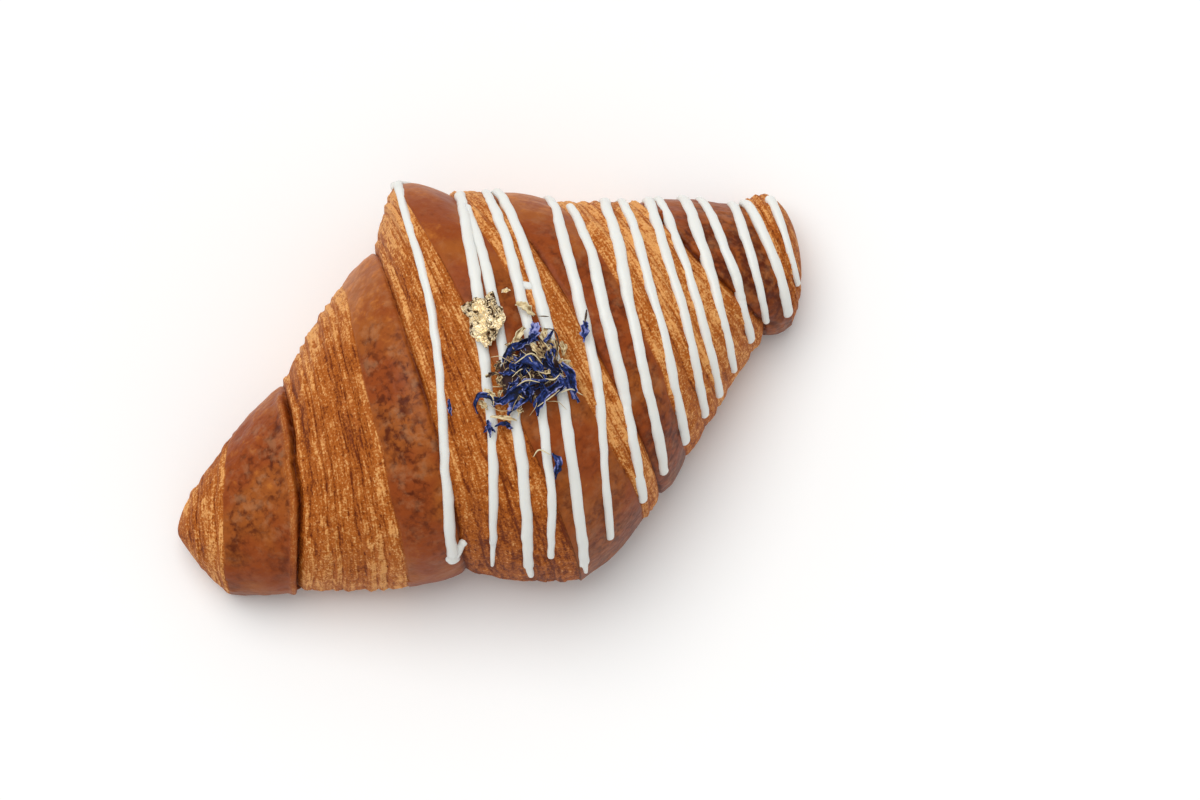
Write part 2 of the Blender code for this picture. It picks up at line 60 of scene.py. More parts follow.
# The rolled sheet of dough, in millimetres, as in the solid. Each row is an edge line that shows on the roll,
# from the left tip to the right tip: where it stands along X at the back, on top and in front, how far the
# roll reaches to the back and to the front there, and how high it is.
EDGE_LINES = (
    (-74.6, -74.6, -74.6, -1.3, -1.3, 8.0),
    (-54.4, -63.0, -69.6, 14.0, -16.7, 24.0),
    (-41.0, -45.8, -55.5, 19.2, -23.2, 31.0),
    (-20.3, -26.7, -33.5, 33.3, -33.0, 44.0),
    (-11.2, -14.8, -21.0, 37.2, -34.2, 47.0),
    (-2.0, 0.3, 0.8, 47.6, -47.0, 55.0),
    (8.0, 13.0, 18.5, 40.5, -39.5, 52.5),
    (15.3, 21.0, 24.0, 38.4, -36.0, 48.5),
    (28.5, 32.2, 32.5, 31.6, -31.0, 43.5),
    (45.5, 50.8, 60.0, 24.6, -12.6, 31.0),
    (66.0, 66.2, 66.4, 15.4, -12.0, 23.0),
    (75.0, 75.0, 75.0, 8.0, 8.0, 10.0),
)
# How the sheet is rolled: how many layers each zone between two lines shows as a cut edge, or that it is a
# glazed face; the line where the two shells meet; and how far each zone swells, in millimetres
FACE = 0
ZONES = (4, FACE, 7, FACE, 4, FACE, 2, FACE, 5, FACE, 3)
SPLIT_LINE = 5
SWELLS = (0.7, 0.2, 0.7, 0.8, 0.7, 1.0, 0.7, 1.0, 0.7, 0.6, 0.5)
# Each layer's sawtooth: its height in millimetres, where along it the lip stands, and its mean level
LAYER_STEP = 0.7
LIP_AT = 0.72
LAYER_MEAN = 0.4
# Cracks beside a line: the line, on which side, the turns in degrees between which it gapes, and its size.
# Then the degrees over which one closes, its depth in millimetres and its half width in shares of a zone,
# and how high, how far past the line and how wide its lip is
CRACKS = ((2, -1, 50, 215, 1.0), (9, 1, 60, 115, 0.45))
CRACK_CLOSES = 25
CRACK_DEPTH = 1.5
CRACK_WIDTH = 0.035
LIP_HEIGHT = 0.7
LIP_PAST = 0.1
LIP_WIDTH = 0.055
# The roll's section: the widest level as a share of the height, the powers of the superellipse above and
# below it, how far the base is cut off flat and over which half widths that sets in, and how the tips close
WIDEST_AT = 0.29
DOME_POWER = 2.2
BASE_POWER = 3.0
BASE_SINK = 0.9
SINK_FROM = 4
SINK_OVER = 6
TIP_BLUNTNESS = (0.2, 0.6)
TIP_UNDER = 1.6
TIP_FADE = 0.3
# Where relief fades out: below this rise round the roll, over this span, and under this half width
FADE_BELOW = -0.85
FADE_SPAN = 0.5
NARROW_HALF = 6
# Slow waves of the dough: height in millimetres, how far apart along the roll, how many round it, and phase
DOUGH_WAVES = ((0.45, 7.3, 1.3, 0.0), (0.35, 11.9, -2.1, 1.7), (0.25, 4.1, 3.2, 0.6))

# Looks of each zone, by the turns at the back, on top and in front: how pale it is from 0 to 1, and how far
# dark oven spots cover a face or open crumb shows on a cut edge. The paler back and darker front are partly
# the zones' own browning and partly painted light and shade, as the light falls from the back.
ZONE_TONES = (
    ((0.58, 0.52, 0.54), (0.8, 0.9, 0.9)),
    ((0.74, 0.52, 0.34), (0.4, 1.0, 0.1)),
    ((0.76, 0.46, 0.70), (1.0, 0.8, 1.0)),
    ((0.90, 0.46, 0.46), (0.2, 1.0, 0.3)),
    ((0.72, 0.54, 0.37), (1.0, 0.9, 0.55)),
    ((0.68, 0.47, 0.34), (0.1, 0.5, 0.5)),
    ((0.80, 0.70, 0.58), (0.8, 0.6, 0.6)),
    ((0.92, 0.46, 0.28), (0.2, 0.6, 0.6)),
    ((0.84, 0.74, 0.60), (0.8, 0.6, 0.5)),
    ((0.56, 0.30, 0.26), (0.6, 0.8, 0.4)),
    ((0.72, 0.58, 0.52), (0.6, 0.6, 0.5)),
)
# Lines where a cut edge rises from the face of the wrap below it, and half the width and the depth of the
# crease there, in millimetres
FOOT_LINES = (2, 4, 7, 9)
FOOT_WIDTH = 0.5
FOOT_DEPTH = 0.45
# How far lines and layers wander, in shares of a zone and of a layer
LINE_WOBBLE = 0.04
ROUND_WANDER = 0.26
ALONG_WANDER = 0.14
WAVE_WANDER = 0.28
LEAF_WANDER = 0.3
# The least relief of a layer and of a leaf, and what chance adds, as shares; leaves in a layer, at least and
# beyond that; relief in millimetres of crumb on dark and on pale leaves, and of slow heaves of a cut edge
LAYER_STRENGTH = (0.45, 0.8)
LEAF_STRENGTH = 0.3
LEAVES = (2, 3)
CRUMB_RELIEF = (0.2, 0.35)
HEAVE = 0.4
# Relief of a face by low, middling and fine noise, as multiples of the blisters' height
FACE_WAVES = (1.6, 0.9, 0.25)
# How far each mark lightens or darkens the crust. The darkening by creases between leaves, at the drop of
# each layer's edge, in the foot crease and in the cracks is painted shade.
TONE = {
    "cut": -0.04, "pale": 0.27, "own": 0.3, "leaf": -0.26, "edge": -0.2, "crumb": 0.4, "cut_mid": 0.15,
    "face_low": 0.22, "face_mid": 0.12, "foot": -0.22, "groove": -0.2, "lip": 0.08,
}
LIP_LAYERED = 0.45
BLEND = 0.02

# Fineness of the crust's grid: row spacing on cut edges and on faces in millimetres, columns above and below
CUT_ROW = 0.22
FACE_ROW = 0.45
TOP_COLUMNS = 286
BASE_COLUMNS = 44
BASE_FROM = 20
TIP_CUT = 0.004
# The tucked edge of each shell: its rows, how far the right one reaches under the left one in millimetres,
# how far the left and the right one sink inwards as shares, their lowest level, and the step of their rows
# in the UV map
TUCK_ROWS = 6
TUCK_REACH = -1.4
TUCK_SINKS = (0.06, 0.10)
TUCK_LEVEL = 0.05
TUCK_STEP = 0.02

# Icing lines as in the solid, in millimetres: where each stands along X at the back edge, midway and at the
# front edge, and the turns round the roll, in degrees from the back, where it starts and ends
ICING_LINES = (
    (-0.2, -10.9, -23.2, 2, 160),
    (10.4, -0.4, -15.8, 22, 152),
    (11.0, 3.7, -9.2, 36, 165),
    (16.4, 9.6, -4.8, 8, 158),
    (18.7, 13.8, 1.7, 8, 168),
    (28.0, 22.6, 10.1, 8, 166),
    (31.5, 27.3, 19.0, 31, 165),
    (39.2, 33.0, 25.5, 10, 164),
    (42.1, 38.7, 32.6, 6, 165),
    (47.8, 44.3, 39.7, 8, 164),
    (49.9, 47.8, 44.0, 6, 165),
    (55.2, 52.8, 49.1, 8, 164),
    (58.5, 57.6, 55.0, 8, 163),
    (64.6, 62.5, 60.2, 8, 162),
    (67.1, 67.1, 65.5, 10, 160),
    (72.4, 71.6, 69.9, 38, 152),
)
# How far each line sways off its curve, in millimetres along X, at these places across the roll as
# shares of half its width from the middle, from back to front
SWAY_PLACES = (-0.8, -0.4, 0.0, 0.4, 0.8)
ICING_SWAYS = (
    (-0.7, 0.5, 0.2, -0.3, -0.3),
    (0.0, 0.5, -0.25, -0.2, 0.1),
    (-0.6, 0.2, -0.2, -0.15, 0.2),
    (-0.7, 0.0, 0.15, 0.2, 0.0),
    (-0.6, 0.0, 0.3, 0.3, 0.2),
    (-0.3, -0.8, -0.3, 0.7, -0.8),
    (-0.4, 0.5, -0.3, 0.0, 0.0),
    (-0.15, 0.4, -0.2, -0.2, 0.2),
    (0.0, 0.1, -0.3, 0.1, 0.0),
    (0.0, -0.2, 0.0, 0.35, -0.4),
    (0.0, -0.2, 0.1, 0.2, 0.0),
    (0.0, -0.25, 0.0, 0.3, 0.0),
    (0.0, -0.1, -0.3, 0.5, 0.2),
    (0.0, 0.0, 0.0, 0.0, 0.0),
    (0.0, 0.0, 0.0, 0.0, 0.0),
    (0.0, 0.0, 0.0, 0.0, 0.0),
)
# How wide each icing line runs at its back, midway and in front, as shares of the width
ICING_SHARES = (
    (0.8, 0.9, 1.15),
    (1.1, 1.15, 0.75),
    (1.0, 1.05, 1.05),
    (0.95, 1.1, 0.7),
    (1.0, 1.15, 1.2),
    (0.95, 1.15, 0.85),
    (0.9, 1.2, 1.0),
    (1.05, 1.15, 1.0),
    (0.8, 1.0, 1.1),
    (1.05, 1.1, 0.95),
    (0.85, 1.0, 0.95),
    (1.2, 1.2, 0.8),
    (0.95, 1.0, 1.0),
    (1.0, 1.0, 0.7),
    (0.85, 1.05, 1.1),
    (1.1, 0.85, 0.7),
)
# Dabs of icing beside the lines' ends: place along X in millimetres and turn round the roll in degrees, at
# the start and at the end, and how wide each is in millimetres
ICING_DABS = (
    (-22.4, 162, -19.4, 152, 1.7),
    (-23.6, 158, -22.6, 166, 2.6),
    (-2.6, 16, 1.8, 8, 1.8),
)
# A thin bridge of icing between two neighbouring lines, in the same terms as the dabs
ICING_BRIDGES = ((12.4, 76.5, 15.6, 79.5, 1.8),)
# Tails where a line thins out towards the base: the line, the turns between which the tail runs in degrees,
# and its width at the start and at the end in millimetres
ICING_TAILS = (
    (1, 146, 167, 1.8, 0.8),
    (2, 158, 173, 2.3, 1.4),
    (4, 160, 175, 2.6, 1.0),
)
# How far a line wavers sideways in millimetres, and how it does so and runs uneven: each wave's length in
# millimetres, weight and seed. Then the heights of tails and dabs as shares of a line's
LINE_WAVER = 0.5
ICING_WAVERS = ((8.0, 1.0, 21), (3.0, 0.7, 22))
ICING_UNEVEN = ((5.0, 0.22, 23), (1.8, 0.16, 24))
TAIL_HEIGHT = 0.75
DAB_HEIGHT = 0.6
ICING_STEPS = 190
DAB_STEPS = 24
PLAN_STEPS = 110
ICING_SIDES = 14

# Where toppings lie on the solid, in millimetres on the plan. The heap's outline has waves: how high as a
# share of its radius, how many round it, and phase
HEAP_CENTRE = (6.0, -8.2)
HEAP_RADIUS = 8.4
HEAP_WAVES = ((0.13, 2, 0.8), (0.09, 5, 2.0))
GOLD_CENTRE = (2.7, 6.1)
GOLD_SIZE = (8.0, 10.2)
GOLD_LEAN = 1.8
GOLD_WIDEST = 0.3
GOLD_TAPER = 0.9
GOLD_BOW = 0.15
# The leaf's outline, as waves with a height, lengths across and along, and phase; its folds, each with its
# size in millimetres, height and seed; its creases, with size and seed; and its fineness and thickness
GOLD_RAGGED = ((0.1, 3.1, 4.0, 0.0), (0.07, 7.0, -5.0, 1.0))
GOLD_FOLDS = ((1.5, 0.9, 32), (0.7, 0.8, 33), (0.34, 0.5, 34))
GOLD_CREASES = ((0.95, 36), (0.5, 37), (0.3, 39))
GOLD_GRID = (90, 110)
GOLD_THICKNESS = 0.06
# A fleck of the leaf that lies apart: its place and its half sizes, in millimetres, and its shade
FLECK = (8.9, 10.7)
FLECK_HALF = (0.8, 0.45)
FLECK_GRID = (14, 14)
FLECK_SHADE = 0.6

# Parts of the dried flowers that lie in known places: points on the plan in millimetres along the middle
# line, how high it runs over what lies beneath at its start, middle and end, how wide it is, how far it turns
# about itself in radians, and its shade from 0, dark, to 1, faded
BLUE_RIBBONS = (
    (((10.5, -1.7), (7.2, -1.6), (3.5, -2.7), (1.0, -6.7)), (1.0, 1.6, 0.3), 1.7, 0.8, 0.22),
    (((3.5, -6.7), (6.2, -5.6), (8.4, -7.8), (9.0, -11.2)), (1.8, 3.6, 2.4), 2.4, 0.5, 0.30),
    (((8.9, -11.1), (4.9, -10.2), (0.7, -10.9), (-3.6, -10.8)), (2.4, 2.6, 1.0), 1.9, -0.9, 0.24),
    (((13.2, -12.0), (9.3, -12.8), (5.8, -14.6), (4.2, -16.8)), (2.2, 2.2, 0.3), 2.0, 0.7, 0.26),
    (((12.9, -8.6), (13.9, -11.3), (13.2, -14.1), (13.7, -16.8)), (1.8, 2.0, 0.4), 2.3, 0.4, 0.34),
    (((5.2, -11.3), (2.2, -12.7), (-1.5, -14.1)), (1.6, 1.9, 0.4), 2.4, 0.6, 0.28),
    (
        ((-3.3, -11.4), (-3.2, -9.3), (-5.0, -8.0), (-6.7, -9.0), (-7.0, -10.9)),
        (0.6, 1.8, 0.5), 1.1, 1.3, 0.16,
    ),
    (((-3.3, -9.6), (-1.4, -11.2), (0.9, -11.4)), (1.2, 1.6, 1.4), 1.5, 0.4, 0.20),
    (((-5.7, -13.0), (-5.9, -14.2), (-6.6, -16.5)), (0.3, 0.9, 0.2), 0.9, 0.3, 0.42),
    (((-5.5, -13.9), (-6.2, -14.3), (-7.5, -14.9)), (0.6, 0.7, 0.2), 0.7, -0.3, 0.36),
    (((-6.1, -13.7), (-5.7, -14.8), (-5.2, -16.0)), (0.7, 0.6, 0.2), 0.7, 0.5, 0.30),
    (((-4.8, -14.9), (-2.6, -15.5), (-1.5, -17.0)), (0.4, 1.0, 0.3), 1.0, 1.2, 0.16),
    (((11.8, 1.7), (11.0, 0.1), (9.9, -1.9)), (0.3, 0.7, 1.3), 2.2, 0.1, 0.92),
    (((10.3, -7.0), (10.8, -10.3), (12.7, -11.9)), (2.4, 2.4, 2.0), 1.6, -0.8, 0.20),
    (((11.0, -10.7), (11.7, -12.8), (9.4, -14.4)), (2.6, 2.4, 0.8), 1.5, 0.9, 0.28),
    (((2.9, -9.5), (4.4, -11.3), (4.1, -13.9)), (2.4, 2.6, 0.8), 1.5, 1.0, 0.22),
    (((5.3, -5.8), (3.3, -5.8), (2.3, -8.5)), (1.6, 2.2, 0.6), 1.5, -0.7, 0.24),
    (((12.4, -4.2), (11.2, -6.8), (11.6, -9.4)), (1.6, 2.6, 2.2), 1.4, 1.1, 0.12),
    (((21.9, -1.4), (21.0, -3.4), (19.8, -5.6)), (0.1, 0.7, 0.1), 1.9, 0.5, 0.50),
    (((3.9, -24.8), (4.1, -27.4), (2.5, -29.8)), (0.1, 0.8, 0.1), 1.8, 0.8, 0.34),
    (((-11.2, -5.2), (-11.8, -6.8), (-12.1, -8.6)), (0.0, 0.1, 0.0), 0.7, 0.2, 0.45),
)
STRAW_RIBBONS = (
    (((9.6, 6.9), (11.2, 5.6), (12.4, 3.3)), (0.2, 0.7, 0.2), 1.7, 0.5, 0.80),
    (((9.3, 1.6), (6.8, 0.0), (4.4, -1.7)), (0.4, 1.3, 0.8), 1.4, 0.4, 0.72),
    (((9.0, -2.4), (9.4, -4.4), (10.5, -6.6)), (1.4, 2.9, 2.4), 1.4, 0.7, 0.60),
    (((11.1, -2.3), (11.3, -4.2), (11.2, -6.1)), (1.2, 2.4, 2.0), 1.6, -0.4, 0.42),
    (((12.8, -2.5), (13.0, -4.6), (12.7, -7.2)), (1.0, 2.3, 1.6), 1.6, 0.5, 0.50),
    (((13.3, -0.2), (12.6, -1.3), (11.6, -2.6)), (0.3, 0.8, 1.2), 1.5, 0.3, 0.74),
    (((14.2, -3.1), (13.4, -5.8), (11.3, -8.8)), (0.6, 1.9, 2.0), 1.3, 0.9, 0.24),
    (((15.4, -3.9), (15.2, -5.4), (14.5, -7.0)), (0.3, 1.0, 0.8), 1.3, -0.5, 0.70),
    (((13.0, -7.8), (14.0, -8.8), (15.2, -9.5)), (1.2, 1.7, 0.5), 1.8, 0.4, 0.78),
    (((-5.7, -8.7), (-5.3, -9.9), (-4.8, -11.2)), (0.5, 1.3, 0.5), 1.2, 0.3, 0.62),
    (((-4.9, -12.7), (-2.4, -14.3), (-0.2, -15.9)), (0.5, 1.1, 0.5), 0.8, 0.4, 0.78),
    (((-3.9, -7.1), (-3.2, -8.2), (-2.2, -9.7)), (0.6, 1.2, 0.8), 1.0, 0.2, 0.86),
    (((3.6, -7.3), (4.4, -8.6), (5.3, -9.9)), (1.6, 2.2, 2.2), 1.0, 0.7, 0.34),
    (((7.6, -8.4), (9.4, -9.6), (10.4, -9.0)), (2.8, 3.1, 2.6), 0.8, 0.8, 0.62),
)
# Fine threads in known places: points on the plan, heights, thickness in millimetres and shade
THREADS = (
    (((8.7, -10.7), (10.3, -11.5), (12.0, -10.8)), (3.4, 3.6, 3.0), 0.34, 0.95),
    (((10.6, -14.3), (13.3, -14.4), (15.0, -15.8)), (2.4, 2.6, 1.2), 0.34, 1.0),
    (((2.3, -9.9), (4.8, -9.6), (7.3, -11.0)), (3.0, 3.6, 3.2), 0.30, 0.85),
    (((13.0, -0.1), (14.8, -1.4), (14.6, -4.1), (12.9, -7.5)), (0.8, 1.6, 2.2), 0.34, 0.05),
    (((13.1, 2.8), (14.2, 2.3), (15.1, 2.0)), (0.5, 0.7, 0.3), 0.30, 0.10),
    (((0.0, -23.9), (1.7, -23.3), (3.5, -25.0)), (0.2, 0.8, 0.4), 0.34, 0.95),
    (((-2.1, -7.3), (-1.0, -7.9), (0.1, -8.4)), (0.5, 0.8, 0.5), 0.28, 0.70),
    (((2.0, -13.6), (1.1, -14.5), (0.2, -15.5)), (1.4, 1.5, 0.8), 0.34, 0.95),
    (((4.9, -15.2), (7.7, -14.7), (10.6, -13.8)), (1.6, 2.8, 2.8), 0.34, 0.90),
    (((4.0, -5.3), (8.1, -4.9), (9.4, -7.8)), (2.8, 4.1, 3.6), 0.36, 0.88),
    (((23.3, 0.8), (22.6, -0.4), (21.8, -1.6)), (0.2, 0.6, 0.5), 0.55, 0.05),
    (((-3.4, -11.1), (-2.9, -9.5), (-3.8, -7.6)), (1.2, 1.8, 1.0), 0.34, 0.90),
)
# Small bits strewn over the heap: how far out as a share of its outline, and between which lengths and
# heights in millimetres. The numbers of the first floret, scale and strewn bits give each its own noise
FLORET_BITS = (0.8, (2.5, 5.0), (1.0, 3.2))
SCALE_BITS = (0.85, (1.4, 3.0), (1.4, 3.4))
THREAD_BITS = (0.9, (2.5, 5.5), (1.8, 3.8))
FIRST_STRAW, FIRST_FLORET, FIRST_SCALE = 30, 50, 90
HEAP_SEED = 11
PETAL_GRID = (26, 9)
PETAL_THICKNESS = 0.1
THREAD_GRID = (18, 5)
# The dark mound of painted shade under the heap: its rings and columns, its radius as a share of the heap's,
# its height in millimetres and its tone.
MOUND_GRID = (14, 40)
MOUND_RADIUS = 0.72
MOUND_HEIGHT = 1.7
MOUND_SHADE_TONE = -0.25

# How toppings clear dough and icing: the gap, how far icing raises it, and from which distances to a line
NODE_GAP = 0.4
ICING_RISE = 1.8
ICING_CLEAR = (2.2, 3.4)

# The photograph's frame: where the camera aims on the solid in millimetres, how far off it stands, how wide
# its view is there, and how steeply and to which side it looks. The key light stands over the camera's
# shoulder by these shares of its directions up and right
AIM = (0.0, 0.0, 16.0)
AIM_RIGHT = 23.8
AIM_UP = -3.25
CAMERA_DISTANCE = 1500.0
VIEW_WIDTH = 259.7
SENSOR = 36.0
ELEVATION = 80.0
HEADING = (0.4067, 0.9135)
KEY_SPREAD = 50.0
KEY_UP = 0.5
KEY_RIGHT = -0.25
# The floor, in metres: half its side, and its level just under the croissant
FLOOR_REACH = 3.0
FLOOR_LEVEL = -0.0002


def srgb(code):
    """A hex colour as linear red, green and blue, with full alpha."""
    share = np.array([int(code[i : i + 2], 16) for i in (1, 3, 5)]) / 255
    linear = np.where(share <= 0.04045, share / 12.92, ((share + 0.055) / 1.055) ** 2.4)
    return (*(float(c) for c in linear), 1.0)


def colour(name, description, code):
    """A colour property with a default given as a hex colour."""
    return bpy.props.FloatVectorProperty(
        name=name, description=description, subtype="COLOR", size=4, min=0, max=1, default=srgb(code)
    )


def length(name, description, value):
    """A length property in metres, with its default given in millimetres."""
    kind = {"subtype": "DISTANCE", "unit": "LENGTH", "min": 0, "precision": 5}
    return bpy.props.FloatProperty(name=name, description=description, default=value * MM, **kind)


def whole_number(name, description, value):
    """A property for a number of small pieces."""
    return bpy.props.IntProperty(name=name, description=description, default=value, min=1)


class CrustSettings(bpy.types.PropertyGroup):
    """Sizes and colours of the baked dough."""

    layer_depth: length("Layer depth", "How far each layer of a cut edge steps over the next", LAYER_STEP)
    leaf_depth: length("Leaf depth", "Relief of the thin leaves within a layer", 0.16)
    blister: length("Blisters", "Height of the low blisters on the glazed faces", 0.3)
    face_dark: colour("Glaze, dark", "Oven spots on the egg-washed faces", "#561f04")
    face_red: colour("Glaze, chestnut", "Red brown of the egg-washed faces", "#8f4216")
    face_gold: colour("Glaze, golden", "Yellow brown of the egg-washed faces", "#9b521d")
    face_light: colour("Glaze, light", "Lightest brown of the egg-washed faces", "#c4752e")
    # Painted sheen: pale patches on the mottled faces that stand in for light reflected off the glaze's
    # blisters.
    glaze_sheen: colour("Glaze, blistered", "Pale brown where the glaze has lifted in thin blisters", "#b27f58")
    # Painted shade in part: the dark tone shows where the noise runs low and where gaps and creases are
    # painted darker.
    cut_dark: colour("Layers, dark", "Brown in the gaps between layers", "#6a2a04")
    cut_mid: colour("Layers", "Golden brown of the layers' edges", "#ab5a18")
    cut_light: colour("Layers, light", "Pale leaves of the layers", "#e2a05c")
    crumb: colour("Crumb", "Specks of open crumb between the layers", "#f0c88c")


class IcingSettings(bpy.types.PropertyGroup):
    """Size and colour of the piped icing."""

    width: length("Line width", "Width of a piped line", 2.3)
    height: length("Line height", "Height of a piped line over the crust", 1.25)
    body: colour("Icing", "Set sugar icing", "#e6e8e4")


class ToppingSettings(bpy.types.PropertyGroup):
    """Amounts and colours of the petals and the gold leaf."""

    florets: whole_number("Florets", "Small torn florets in the heap", 20)
    scales: whole_number("Scales", "Small dry scales in the heap", 30)
    threads: whole_number("Threads", "Fine pale threads in the heap", 30)
    blue_dark: colour("Petal, dark", "Shaded folds of a dried petal", "#090b1c")
    blue: colour("Petal", "Dried cornflower blue", "#21387c")
    violet: colour("Petal, faded", "Faded edge of a thin petal", "#a3a6d8")
    cream: colour("Scale", "Dry cream scale", "#e8d9b0")
    straw: colour("Scale, straw", "Middle tone of a dry scale", "#b89a6c")
    # Also the colour of the dark mound of painted shade under the heap.
    brown: colour("Scale, brown", "Brown of a dry calyx", "#361f1e")
    gold: colour("Gold", "Beaten gold leaf", "#fcebc8")


class StageSettings(bpy.types.PropertyGroup):
    """Floor and light."""

    floor: colour("Floor", "White matt floor", "#f8f8f7")
    key_strength: bpy.props.FloatProperty(
        name="Key light", description="Strength of the broad soft light from the back", default=1.75, min=0
    )
    sky_strength: bpy.props.FloatProperty(
        name="Sky", description="Strength of the even white light from all round", default=0.58, min=0
    )


def add_node(tree, kind, inputs=(), **settings):
    """Adds a node with its settings. Each input takes a value, or another node's socket to be linked to."""
    node = tree.nodes.new(kind)
    for name, value in settings.items():
        setattr(node, name, value)
    for key, value in dict(inputs).items():
        if isinstance(value, bpy.types.NodeSocket):
            tree.links.new(value, node.inputs[key])
        else:
            node.inputs[key].default_value = value
    return node


def new_material(name):
    """An empty node material with its shader: returns the material, its tree and its Principled BSDF."""
    material = bpy.data.materials.new(name)
    material.use_nodes = True
    tree = material.node_tree
    return material, tree, tree.nodes["Principled BSDF"]


def set_values(node, values):
    """Sets even values on a node's own sockets, by name."""
    for name, value in values.items():
        node.inputs[name].default_value = value


def mark_value(tree, name):
    """A value that each point of the mesh carries under this name."""
    return add_node(tree, "ShaderNodeAttribute", attribute_name=name).outputs["Fac"]


def noise(tree, vector, size, output=0, **settings):
    """A noise whose features are this size, in millimetres."""
    inputs = {"Vector": vector, "Scale": 1 / (size * MM)}
    inputs.update({name.capitalize(): value for name, value in settings.items()})
    return add_node(tree, "ShaderNodeTexNoise", inputs).outputs[output]


def maths(tree, operation, *values):
    """The result of a sum on values or sockets."""
    return add_node(tree, "ShaderNodeMath", dict(enumerate(values)), operation=operation).outputs[0]


def shifted(tree, base, source, amount):
    """The value plus a noise about its middle, times an amount."""
    return maths(tree, "MULTIPLY_ADD", maths(tree, "SUBTRACT", source, 0.5), amount, base)


def ramp(tree, value, start, end, kind="SMOOTHSTEP"):
    """0 up to start, 1 from end on, and a rise between them."""
    inputs = {0: value, 1: start, 2: end}
    return add_node(tree, "ShaderNodeMapRange", inputs, interpolation_type=kind).outputs[0]


def mix(tree, share, first, second):
    """The first colour where the share is 0, the second where it is 1."""
    return add_node(tree, "ShaderNodeMix", {0: share, 6: first, 7: second}, data_type="RGBA").outputs[2]


def three_tones(tree, value, tones, kind="SMOOTHSTEP"):
    """Dark to middle to light as the value goes from 0 to 1."""
    dark, middle, light = tones
    lower = mix(tree, ramp(tree, value, 0.0, 0.5, kind), dark, middle)
    return mix(tree, ramp(tree, value, 0.5, 1.0, kind), lower, light)


def bumped(tree, shader, height, strength, depth):
    """Fine relief on the shader, whose depth is in millimetres."""
    bump = add_node(tree, "ShaderNodeBump", {"Strength": strength, "Distance": depth * MM, "Height": height})
    tree.links.new(bump.outputs[0], shader.inputs["Normal"])


def unit(vectors):
    """The vectors at length one."""
    return vectors / np.maximum(np.linalg.norm(vectors, axis=-1, keepdims=True), 1e-9)


def edge_lines_at(turn):
    """Each line's place along X at this turn round the roll: a parabola through its back, top and front."""
    back, top, front = np.array(EDGE_LINES)[:, :3].T.reshape(3, -1, *[1] * np.ndim(turn))
    side = np.cos(turn)
    return top + (back - front) / 2 * side + ((back + front) / 2 - top) * side**2


def wrap_at(x, turn):
    """The wrap coordinate at this place: the number of lines passed, and the share of the way to the next."""
    lines = edge_lines_at(turn)
    return sum(np.clip((x - a) / (b - a), 0, 1) for a, b in zip(lines[:-1], lines[1:]))


def unevenness(x, turn):
    """A slow swell and dip of the dough by hand and oven: three crossing waves of different lengths."""
    return sum(height * np.sin(x / far + count * turn + phase) for height, far, count, phase in DOUGH_WAVES)


def section_at(wrap):
    """Middle, half width, lowest and highest level of the roll, which closes to a rounded point at a tip."""
    numbers = np.arange(len(EDGE_LINES))
    back, front, high = (np.interp(wrap, numbers, column) for column in np.array(EDGE_LINES).T[3:])
    last = len(ZONES)
    middle, half = (back + front) / 2, (back - front) / 2
    low = np.zeros_like(middle)
    for tip, ring, blunt in ((0, 1, TIP_BLUNTNESS[0]), (last, last - 1, TIP_BLUNTNESS[1])):
        share = np.clip(np.abs(wrap - tip), 0, 1)
        near = share < 1
        cap = (1 - blunt) * share + blunt * np.sqrt(1 - (1 - share) ** 4)
        ring_half = (EDGE_LINES[ring][3] - EDGE_LINES[ring][4]) / 2
        level = EDGE_LINES[tip][5]
        half = np.where(near, ring_half * cap, half)
        high = np.where(near, level + (EDGE_LINES[ring][5] - level) * cap, high)
        low = np.where(near, level * (1 - cap) ** TIP_UNDER, low)
    return middle, half, low, high


def place_along(wrap, turn):
    """Where a wrap coordinate stands along X at this turn: straight between the two lines beside it."""
    lines = edge_lines_at(turn)
    zone = np.clip(wrap.astype(int), 0, len(ZONES) - 1)
    before = np.take_along_axis(lines, zone[None], 0)[0]
    after = np.take_along_axis(lines, zone[None] + 1, 0)[0]
    return before + (after - before) * (wrap - zone)


def skin_point(wrap, turn, relief):
    """A point of the skin, in mm: a superellipse dome over a squarer base, pushed out by the relief."""
    wrap, turn = np.broadcast_arrays(np.asarray(wrap, float), np.asarray(turn, float))
    x = place_along(wrap, turn)
    middle, half, low, high = section_at(wrap)
    side, rise = np.cos(turn), np.sin(turn)
    power = np.where(rise >= 0, DOME_POWER, BASE_POWER)
    widest = low + WIDEST_AT * (high - low)
    across = np.sign(side) * np.abs(side) ** (2 / power)
    up = np.abs(rise) ** (2 / power)
    sink = BASE_SINK * np.clip((half - SINK_FROM) / SINK_OVER, 0, 1)
    dome = widest + (high - widest) * up
    bowl = np.maximum(widest - (widest - low + sink) * up, low)
    fade = np.clip((rise - FADE_BELOW) / FADE_SPAN, 0, 1) * np.clip(half / NARROW_HALF, 0, 1)
    out = (relief + unevenness(x, turn)) * fade
    y = middle + half * across + out * side
    z = np.where(rise >= 0, dome + out * rise, np.maximum(bowl + out * rise, low))
    return np.stack([x, y, z], axis=-1)


def swell_at(wrap):
    """The gentle swelling of each zone between its two lines, in mm, flat at the tips."""
    zone = np.clip(wrap.astype(int), 0, len(ZONES) - 1)
    ends = np.clip(np.minimum(wrap, len(ZONES) - wrap) / TIP_FADE, 0, 1)
    return np.array(SWELLS)[zone] * np.sin(pi * (wrap - zone)) * ends


def turn_at(x, y):
    """The turn round the roll of the point of its upper skin at this place on the plan, found in steps."""
    turn = np.full(np.broadcast(x, y).shape, pi / 2)
    for _ in range(12):
        middle, half, _low, _high = section_at(wrap_at(x, turn))
        off = np.clip((y - middle) / half, -1, 1)
        turn = np.arccos(np.sign(off) * np.abs(off) ** (DOME_POWER / 2))
    return turn


